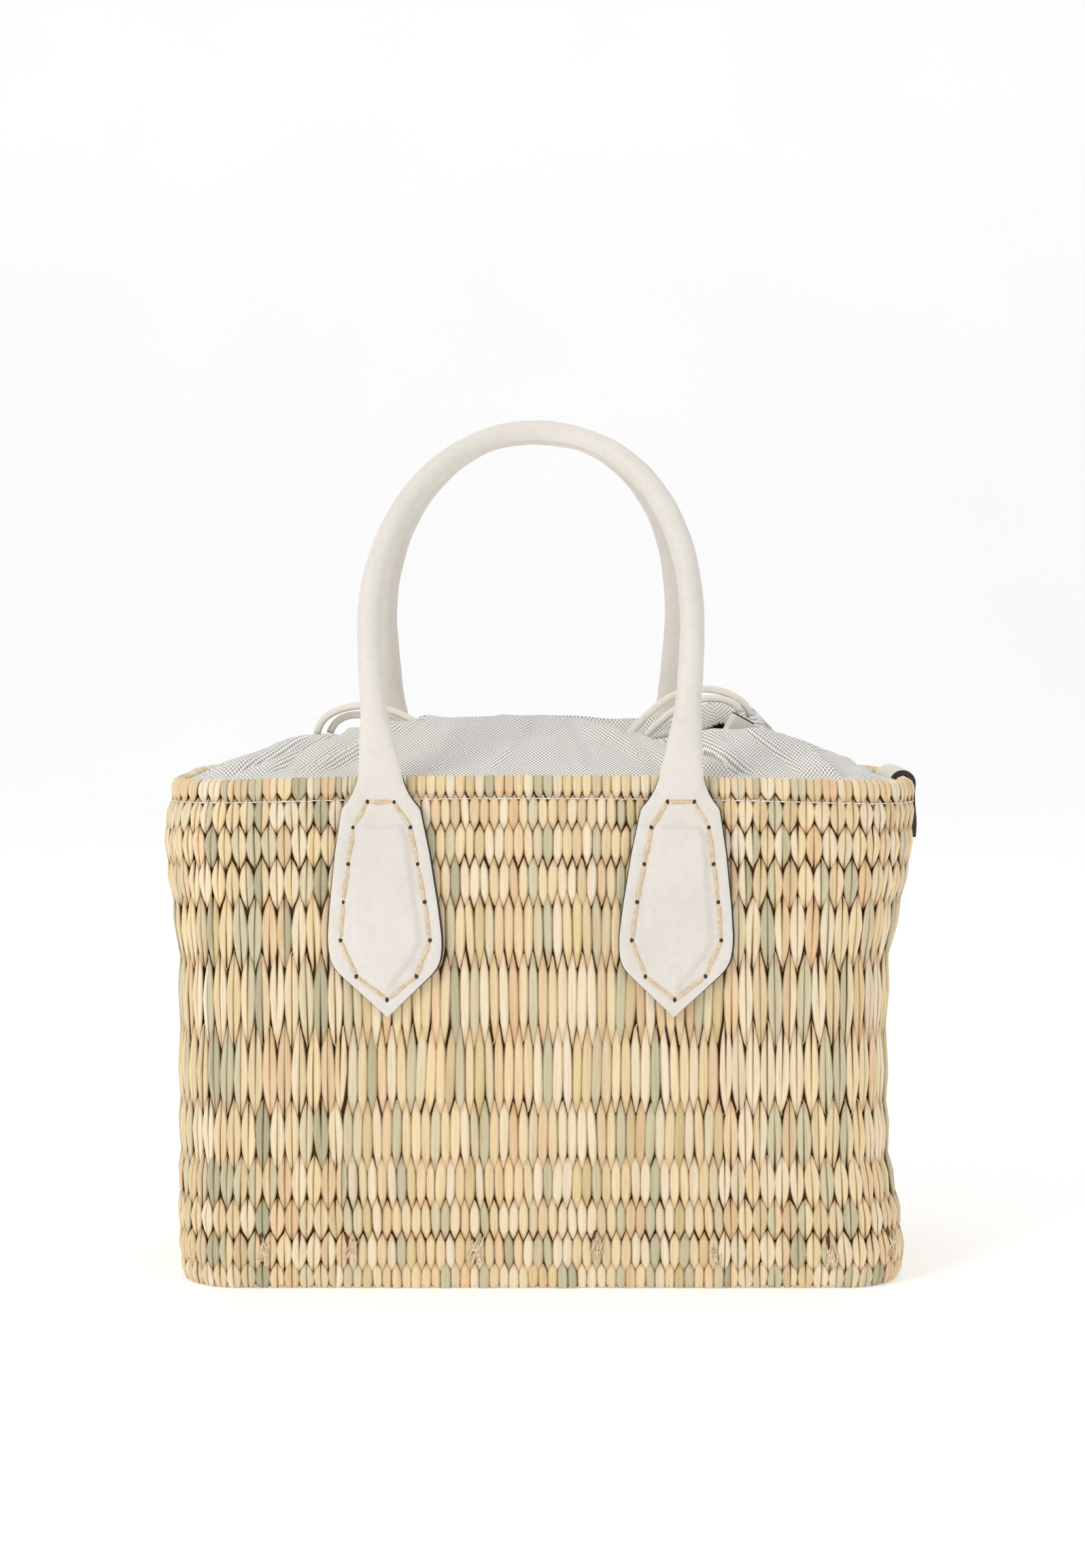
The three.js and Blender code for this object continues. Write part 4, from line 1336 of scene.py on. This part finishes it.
# The main folds, each from the rim to the mouth: where it starts and ends, how high it
# rises, how deep it falls beside that, and how wide it is
FOLDS = [
    (0.53, -0.95, 0.2, -0.12, 0.12, 0.2, 1.3), (0.86, -0.8, 0.7, -0.2, 0.1, 0.06, 1.5),
    (-0.62, -0.95, -0.38, -0.12, 0.12, 0.1, 1), (-0.84, -0.78, -0.56, -0.12, 0.13, 0.1, 1),
    (-0.95, -0.4, -0.66, -0.05, 0.12, 0.08, 1), (0.98, -0.3, 0.76, -0.1, 0.08, 0.1, 1),
    (0.9, 0.7, 0.72, 0.25, 0.1, 0.1, 1.2), (0.35, 0.95, 0.3, 0.15, 0.12, 0.1, 1.3),
    (-0.2, 0.95, -0.1, 0.12, 0.12, 0.1, 1.2), (-0.75, 0.85, -0.5, 0.12, 0.12, 0.1, 1.2),
]


def fold_height(x, y):
    """How much the folds raise the cloth at points in plan."""
    height = np.zeros_like(x)
    for rim_x, rim_y, mouth_x, mouth_y, rise, fall, wide in FOLDS:
        from_x, from_y = rim_x * HALF_WIDTH, rim_y * HALF_DEPTH
        along_x, along_y = mouth_x * HALF_WIDTH - from_x, mouth_y * HALF_DEPTH - from_y
        length = math.hypot(along_x, along_y)
        t = ((x - from_x) * along_x + (y - from_y) * along_y) / length**2
        side = ((x - from_x) * along_y - (y - from_y) * along_x) / (length * MOUTH_WIDTH)
        reach = smoothstep(t * 3) * smoothstep((1.15 - t) * 4)
        ridge = np.exp(-((side / wide + 0.35) ** 2) * 4)
        valley = np.exp(-((side / wide - 0.45) ** 2) * 6)
        height += COVER_RISE * reach * (rise * ridge - fall * valley)
    return height


def hem_line(count):
    """Evenly spaced points of the hem inside the rim, from the right-hand end round the
    back, with room for the side tab."""
    plan = outline(RIM_SHARE, RIM_ROLL + 0.3 + CLOTH / 2)
    quarter = len(plan) // 4
    start = np.array([plan[quarter][0], 0.0])
    points = np.vstack([start, plan[quarter:], plan[:quarter], start])
    far = far_along(points)
    stops = np.arange(count) * far[-1] / count
    x, y = np.interp(stops, far, points[:, 0]), np.interp(stops, far, points[:, 1])
    near = 1 - smoothstep((np.abs(y) - 25) / 8)
    return x - np.where(x > 0, 2.6 * near, 0), y


def cloth_rings(count, shares):
    """The middle of the cloth from the hem's lower edge to the lip's inner edge."""
    x, y = hem_line(count)
    angle = 2 * np.pi * np.arange(count) / count
    table = np.array(MOUTH)
    along = 0.02 + 1.0 * np.cos(angle)
    front = np.sin(angle) < 0
    wide_front, wide_back, rise_front, rise_back = (
        np.interp(along, table[:, 0], table[:, k]) for k in (1, 2, 3, 4)
    )
    wide = np.where(front, -wide_front, wide_back)
    rise = np.where(front, rise_front, rise_back)
    blunt = np.minimum(1, np.abs(np.sin(angle)) * 7)
    lip_x, lip_y = along * MOUTH_LENGTH / 2, wide * blunt * MOUTH_WIDTH / 2
    lip_z = BASKET_HEIGHT + rise * COVER_RISE
    peak = np.maximum(0, rise - 0.62) * COVER_RISE
    domed = 0.8 * np.abs(np.sin(angle)) ** 3
    rim = arch(1, x)
    rings = [np.stack([x, y, rim - d], 1) for d in (HEM, HEM * 0.66, HEM / 3)]
    for share in shares:
        px, py = x + (lip_x - x) * share, y + (lip_y - y) * share
        dome = share + (math.sin(math.pi / 2 * share) - share) * domed
        drape = rim - 1.5 + (lip_z - peak - rim + 1.5) * dome + peak * share**2.5
        held = smoothstep(share * 3) * smoothstep((1.1 - share) * 3)
        rings.append(np.stack([px, py, drape + fold_height(px, py) * held], 1))
    behind = np.where(front, 0, smoothstep(3 * np.abs(np.sin(angle))))
    for slide, sink in ((3.5, LIP / 2), (8.5, LIP), (14, LIP + 3)):
        rings.append(np.stack([lip_x, lip_y - slide * behind, lip_z - sink], 1))
    return np.array(rings)


def grid_normals(rings):
    """Which way the cloth faces at each point of its rings."""
    up = np.gradient(rings, axis=0)
    around = np.roll(rings, -1, axis=1) - np.roll(rings, 1, axis=1)
    normals = np.cross(around, up)
    return normals / (np.linalg.norm(normals, axis=2, keepdims=True) + 1e-9)


# Sharper creases of the front and back: where they start on the rim and end at the mouth
# along the bag, how far they bow, how high and how deep they are, and how wide. A negative
# width puts the steep side on the left.
CREASED = [
    (87, 43, 3, 3.8, 3.6, 14), (132, 96, 4, 3.0, 2.4, 12), (148, 118, 3, 1.8, 1.5, 9),
    (100, 80, -3, 1.2, 0.6, 9), (-100, -60, 3, 2.3, 1.9, -11), (-129, -74, 3, 2.8, 2.2, -12),
    (-144, -96, 2, 1.6, 1.3, -9), (-78, -44, 3, 1.2, 0.9, -9), (-46, -20, 4, 0.9, 0.7, -10),
    (-20, 0, 3, 0.6, 0.5, 9), (22, 12, 3, 0.6, 0.5, 10), (52, 30, 3, 0.9, 0.6, 10),
    (-113, -84, -2, 1.1, 0.8, 7), (116, 92, 3, 0.9, 0.7, -7),
]


def crease_height(x, share, back):
    height = np.zeros_like(x)
    for rim_x, mouth_x, bow, rise, fall, wide in CREASED:
        flip = np.where(back, -1, 1)
        line = flip * (rim_x + (mouth_x - rim_x) * share + bow * np.sin(np.pi * share))
        d = (x - line) * flip / wide
        gentle = np.exp(-((d / 0.8) ** 2))
        steep = np.exp(-((d / 0.15) ** 2))
        dent = np.exp(-(((d - 0.42) / 0.3) ** 2))
        height += np.where(d < 0, rise * gentle, rise * steep) - fall * dent * (d > 0)
    return height


def crumple(rings, first, last):
    """Creases that run from the gathers to the hem, and soft waves between them."""
    normals = grid_normals(rings)
    many, count, _ = rings.shape
    share = np.clip((np.arange(many) - first) / (last - first), 0, 1)[:, None]
    x, y = rings[..., 0], rings[..., 1]
    turn = np.arange(count)[None] / count * 2 * np.pi
    gather = sum(
        a * np.sin(k * turn + p + 1.5 * np.sin(3 * share + p))
        for k, a, p in ((37, 0.22, 0.4), (53, 0.18, 2.1), (71, 0.12, 4.0), (23, 0.3, 5.2))
    )
    waves = sum(
        a * np.sin(fx * x + fy * y + p)
        for fx, fy, a, p in ((0.09, 0.13, 0.35, 1.0), (-0.06, 0.19, 0.3, 2.6),
                             (0.15, -0.1, 0.22, 4.4), (0.05, 0.31, 0.12, 0.7))
    )
    held = smoothstep(share * 4) * smoothstep((1 - share) * 5 + 0.25)
    creased = crease_height(x, share + 0 * x, turn + 0 * x < np.pi)
    creased = creased * smoothstep(share * 6) * smoothstep((1 - share) * 8)
    bumps = (gather * share**1.5 + waves) * held + creased
    return rings + normals * bumps[..., None]


def make_cover():
    count = 420
    shares = np.concatenate([[0.02, 0.05], np.linspace(0.09, 0.91, 30), [0.94, 0.97, 0.99, 1]])
    rings = crumple(cloth_rings(count, shares), 3, 2 + len(shares))
    normals = grid_normals(rings)
    many = len(rings)
    outside = rings + normals * CLOTH / 2
    inside = (rings - normals * CLOTH / 2)[::-1]
    both = np.concatenate([outside, inside])
    cover = build("canvas_cover_cloth", both.reshape(-1, 3), close_rings(both, False),
                  CANVAS, CANVAS_BACK)
    step = np.diff(rings, axis=0)
    flat = np.hypot(step[..., 0], step[..., 1]) + 1e-6
    climb = np.hypot(step[..., 1], step[..., 2] * np.abs(step[..., 1]) / flat)
    climb = np.sign(rings[:1, :, 1]) * -np.maximum(climb, 1.55 * np.abs(step[..., 2]) - flat)
    across = np.concatenate([rings[:1, :, 1], rings[0, :, 1] + np.cumsum(climb, axis=0)])
    spots = np.stack([rings[..., 0], across], -1)
    lay_uv(cover, np.concatenate([spots, spots[::-1]]).reshape(-1, 2))
    paint_faces(cover, np.arange(len(cover.data.polygons)) >= (many - 1) * count)
    a, b, c = rings[:-1], np.roll(rings, -1, axis=1)[:-1], rings[1:]
    area = np.linalg.norm(np.cross(b - a, c - a), axis=2).sum() * MM**2
    hem = np.linalg.norm(rings[0] - np.roll(rings[0], 1, axis=0), axis=1).sum() * MM
    tall = np.linalg.norm(step, axis=2).sum(axis=0).max() * MM
    return cover, area, (round(hem, 3), round(tall, 3))


cover, cover_area, cover_flat = make_cover()
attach(cover, "root")
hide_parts("canvas_cover")

# Drawstring. Each strand's middle from the mouth to its sleeve, as its solid has it.
STRINGS = {
    "string_right_upper": [
        (38, -7.9, 224), (43.6, -7, 230), (52.7, -5, 239.6), (63.3, -3, 247.2),
        (76.4, -1.5, 250.2), (86, 0, 248.9), (93, 0.6, 245.6), (97, 0.8, 241.6),
        (98.4, 0.8, 237.8),
    ],
    "string_right_lower": [
        (44, -10.3, 221.1), (49.7, -10, 228.1), (56, -8.6, 234.7), (63.3, -6.5, 240.4),
        (74, -4.5, 245.1), (82, -3.2, 246.1), (88.5, -3, 244.7), (92.2, -3, 242.5),
        (93.4, -3, 240.1),
    ],
    "string_left_upper": [
        (-47, -3.6, 229.4), (-52.4, -2.6, 235.6), (-58, -1, 238.7), (-64, -1, 240.8),
        (-76, 0, 242.6), (-85.8, 1, 240.8), (-92.8, 1.8, 236.6), (-95.6, 2, 231.4),
        (-95.8, 2, 230),
    ],
    "string_left_lower": [
        (-49, 3.7, 226.6), (-54, 3.7, 231.8), (-63.4, 3.8, 236.2), (-75.8, 4, 238.4),
        (-82.4, 4.4, 237.9), (-87.4, 4.8, 235.2), (-90, 5, 231.2), (-90.2, 5, 230.2),
    ],
}
STRING = 2.8
SLEEVE_WIDTH, SLEEVE_THICK, SLEEVE_LENGTH = 10.6, 5.6, 19


def curve_through(points, count):
    """Points of a centripetal curve through the chosen ones, evenly spaced."""
    points = np.array(points, float)
    first = 2 * points[0] - points[1]
    last = 2 * points[-1] - points[-2]
    whole = np.vstack([first, points, last])
    fine = []
    for i in range(1, len(whole) - 2):
        p0, p1, p2, p3 = whole[i - 1 : i + 3]
        d1, d2, d3 = np.sqrt(np.linalg.norm(np.diff(whole[i - 1 : i + 3], axis=0), axis=1))
        m1 = (p1 - p0) / d1 - (p2 - p0) / (d1 + d2) + (p2 - p1) / d2
        m2 = (p2 - p1) / d2 - (p3 - p1) / (d2 + d3) + (p3 - p2) / d3
        m1, m2 = m1 * d2, m2 * d2
        for t in np.linspace(0, 1, 24, endpoint=False):
            fine.append((2 * t**3 - 3 * t**2 + 1) * p1 + (t**3 - 2 * t**2 + t) * m1
                        + (-2 * t**3 + 3 * t**2) * p2 + (t**3 - t**2) * m2)
    fine = np.array(fine + [points[-1]])
    far = far_along(fine)
    stops = np.linspace(0, far[-1], count)
    return np.stack([np.interp(stops, far, fine[:, k]) for k in range(3)], 1), far[-1]


def draw_string(name, route):
    """A strand of folded leather: a soft-cornered strip with the slit between its edges."""
    path, length = curve_through(route, 37)
    ahead = unit(np.gradient(path, axis=0))
    across = unit(np.cross(ahead, [0, -1.0, 0.35]))
    outward = np.cross(across, ahead)
    sides = 22
    angle = 2 * np.pi * (np.arange(sides) + 0.5) / sides
    slit = from_angle(angle, 62)
    size = STRING / 2 * (1 - 0.14 * np.exp(-((slit / 0.16) ** 2)))
    w = superround(np.cos(angle), 0.75) * size * 1.15
    h = superround(np.sin(angle), 0.75) * size * 0.92
    rings = [p + np.outer(w, a) + np.outer(h, o) for p, a, o in zip(path, across, outward)]
    strand = build(name.replace("string", "drawstring"), np.vstack(rings),
                   close_rings(rings, True), STRING_LEATHER)
    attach(strand, "root")
    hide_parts(name)
    return strand, path, length


def make_sleeve(name, strands, lean, turn):
    """A flat leather sleeve under the ends of its two strands, open at its painted top."""
    routes = [curve_through(STRINGS[strand], 37)[0] for strand in strands]
    ends = [route[-1] for route in routes]
    tilt = math.radians(lean)
    axis = np.array([-math.sin(tilt), 0, -math.cos(tilt)])
    reach = []
    for route, end in zip(routes, ends):
        way = route[-1] - route[-2]
        cosine = abs(np.dot(way / np.linalg.norm(way), axis))
        reach.append(end @ axis + STRING / 2 * math.sqrt(max(0, 1 - cosine**2)))
    middle = (ends[0] + ends[1]) / 2
    place = middle + axis * (max(reach) + 0.3 - middle @ axis + SLEEVE_LENGTH / 2)
    deselect_all()
    bpy.ops.mesh.primitive_cube_add(size=1)
    sleeve = bpy.context.object
    sleeve.name = name.replace("string_end", "drawstring_sleeve")
    sleeve.scale = (SLEEVE_WIDTH, SLEEVE_THICK, SLEEVE_LENGTH)
    bpy.ops.object.transform_apply(location=True, rotation=True, scale=True)
    edit(sleeve)
    bpy.ops.mesh.select_all(action="SELECT")
    bpy.ops.mesh.bevel(offset=0.7, segments=3, affect="EDGES")
    leave_edit()
    for corner in sleeve.data.vertices:
        corner.co.y *= 1 - 0.16 * abs(corner.co.z / SLEEVE_LENGTH * 2) ** 2
    wear(sleeve, STRING_LEATHER, EDGE_PAINT)
    for face in sleeve.data.polygons:
        low = abs(face.center.z) > SLEEVE_LENGTH / 2 - 0.75
        seam = face.center.x > SLEEVE_WIDTH / 2 - 0.72 and abs(face.center.y) < 1.0
        face.material_index = 1 if low or seam else 0
        face.use_smooth = True
    turning = Matrix.Rotation(tilt, 4, "Y") @ Matrix.Rotation(math.radians(turn), 4, "Z")
    sleeve.data.transform(Matrix.Scale(MM, 4) @ Matrix.Translation(Vector(place)) @ turning)
    shade_by_angle(sleeve, 40)
    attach(sleeve, "root")
    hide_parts(name)
    return sleeve


def make_drawstring():
    for side, lean, turn in (("right", 29, 20), ("left", 4, -25)):
        names = [f"string_{side}_upper", f"string_{side}_lower"]
        sleeve = make_sleeve(f"string_end_{side}", names, lean, turn)
        for name in names:
            strand, path, length = draw_string(name, STRINGS[name])


make_drawstring()

# Side tab
STRIP_WIDTH, STRIP_THICK = 46, 2.3
STRIP_OUTER, STRIP_INNER = 27, 12


def make_side_tab():
    """A strip of leather folded over the rolled edge, with painted edges."""
    outer_x = HALF_WIDTH * float(between(CREASES, "height", RIM_SHARE, "right"))
    middle_x = outer_x - RIM_ROLL / 2
    inner = RIM_ROLL / 2 + 0.3
    rim_top = BASKET_HEIGHT - RIM_DIP * RIM_SHARE**3 * (middle_x / HALF_WIDTH) ** 2
    middle_z = rim_top + 0.3 - inner
    line = [
        (inner + 0.35 * math.sin(i / 8 * 6.2),
         rim_top - STRIP_OUTER + (STRIP_OUTER - 4) * i / 8 - middle_z)
        for i in range(8)
    ]
    line += [(inner * math.cos(a), inner * math.sin(a)) for a in np.linspace(0, math.pi, 17)]
    line += [(-inner, rim_top - STRIP_INNER - middle_z + (STRIP_INNER - 4) * (1 - i / 3))
             for i in range(1, 4)]
    line = np.array(line)
    way = unit(np.gradient(line, axis=0))
    out = np.stack([way[:, 1], -way[:, 0]], 1)
    widths = np.concatenate([[-1, -0.985, -0.95], np.linspace(-0.85, 0.85, 13), [0.95, 0.985, 1]])
    rings = []
    for (x, z), (ox, oz) in zip(line, out):
        ring = []
        for share in widths:
            thick = STRIP_THICK - 0.35 * smoothstep((abs(share) - 0.93) / 0.07)
            y = share * STRIP_WIDTH / 2
            ring.append((middle_x + x + ox * thick, y, middle_z + z + oz * thick))
        for share in widths[::-1]:
            ring.append((middle_x + x, share * STRIP_WIDTH / 2, middle_z + z))
        rings.append(ring)
    rings = np.array(rings)
    tab = build("side_tab_strip", rings.reshape(-1, 3), close_rings(rings, True),
                TRIM_LEATHER, EDGE_PAINT)
    many = len(rings[0])
    wide = len(widths)
    for face in tab.data.polygons:
        column = face.index % many
        ends = face.index >= (len(rings) - 1) * many
        side = column in (wide - 1, many - 1, 0, wide - 2)
        face.material_index = 1 if ends or side else 0
    shade_by_angle(tab, 50)
    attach(tab, "root")
    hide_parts("side_tab")


make_side_tab()

# Stage: a plain pale floor with soft light


def stage():
    """A white sheet of paper that runs up behind the bag in one wide bend."""
    profile = [(-5, 0), (2.2, 0)]
    profile += [
        (2.2 + 1.2 * math.sin(math.radians(a)), 1.2 - 1.2 * math.cos(math.radians(a)))
        for a in range(6, 91, 6)
    ]
    profile += [(3.4, 5)]
    places = [(x * 1000, y * 1000, z * 1000) for x in (-6, 6) for y, z in profile]
    count = len(profile)
    faces = [[i, i + count, i + count + 1, i + 1] for i in range(count - 1)]
    floor = build("floor", places, faces)
    material, shader, node = new_material("pale_paper")
    place = node("ShaderNodeTexCoord").outputs["Object"]
    feed(shader, {
        "Base Color": ramp(node, noise(node, "paper", place, 3.0, 2.0), [(0.3, 0.8), (0.7, 0.82)]),
        "Roughness": 0.95,
        "Specular IOR Level": 0.05,
        "Emission Color": (1, 1, 1, 1),
        "Emission Strength": 0.35,
    })
    wear(floor, material)


def soft_light(name, place, aim, size, power):
    lamp = bpy.data.lights.new(name, "AREA")
    lamp.shape = "SQUARE"
    lamp.size = size
    lamp.energy = power
    holder = bpy.data.objects.new(name, lamp)
    holder.location = place
    direction = Vector(aim) - Vector(place)
    holder.rotation_euler = direction.to_track_quat("-Z", "Y").to_euler()
    bpy.context.collection.objects.link(holder)


def studio():
    stage()
    world = bpy.data.worlds.new("studio")
    world.use_nodes = True
    feed(world.node_tree.nodes["Background"], {"Color": (1, 1, 1, 1), "Strength": 0.55})
    bpy.context.scene.world = world
    soft_light("key_light", (-1.6, -1.4, 1.5), (0, 0, 0.15), 1.0, 21)
    soft_light("fill_light", (1.5, -1.4, 0.9), (0, 0, 0.15), 1.2, 5)
    soft_light("top_light", (0.2, 0.3, 2.2), (0, 0, 0.1), 1.4, 8)
    bpy.context.scene.view_settings.view_transform = "Standard"


studio()
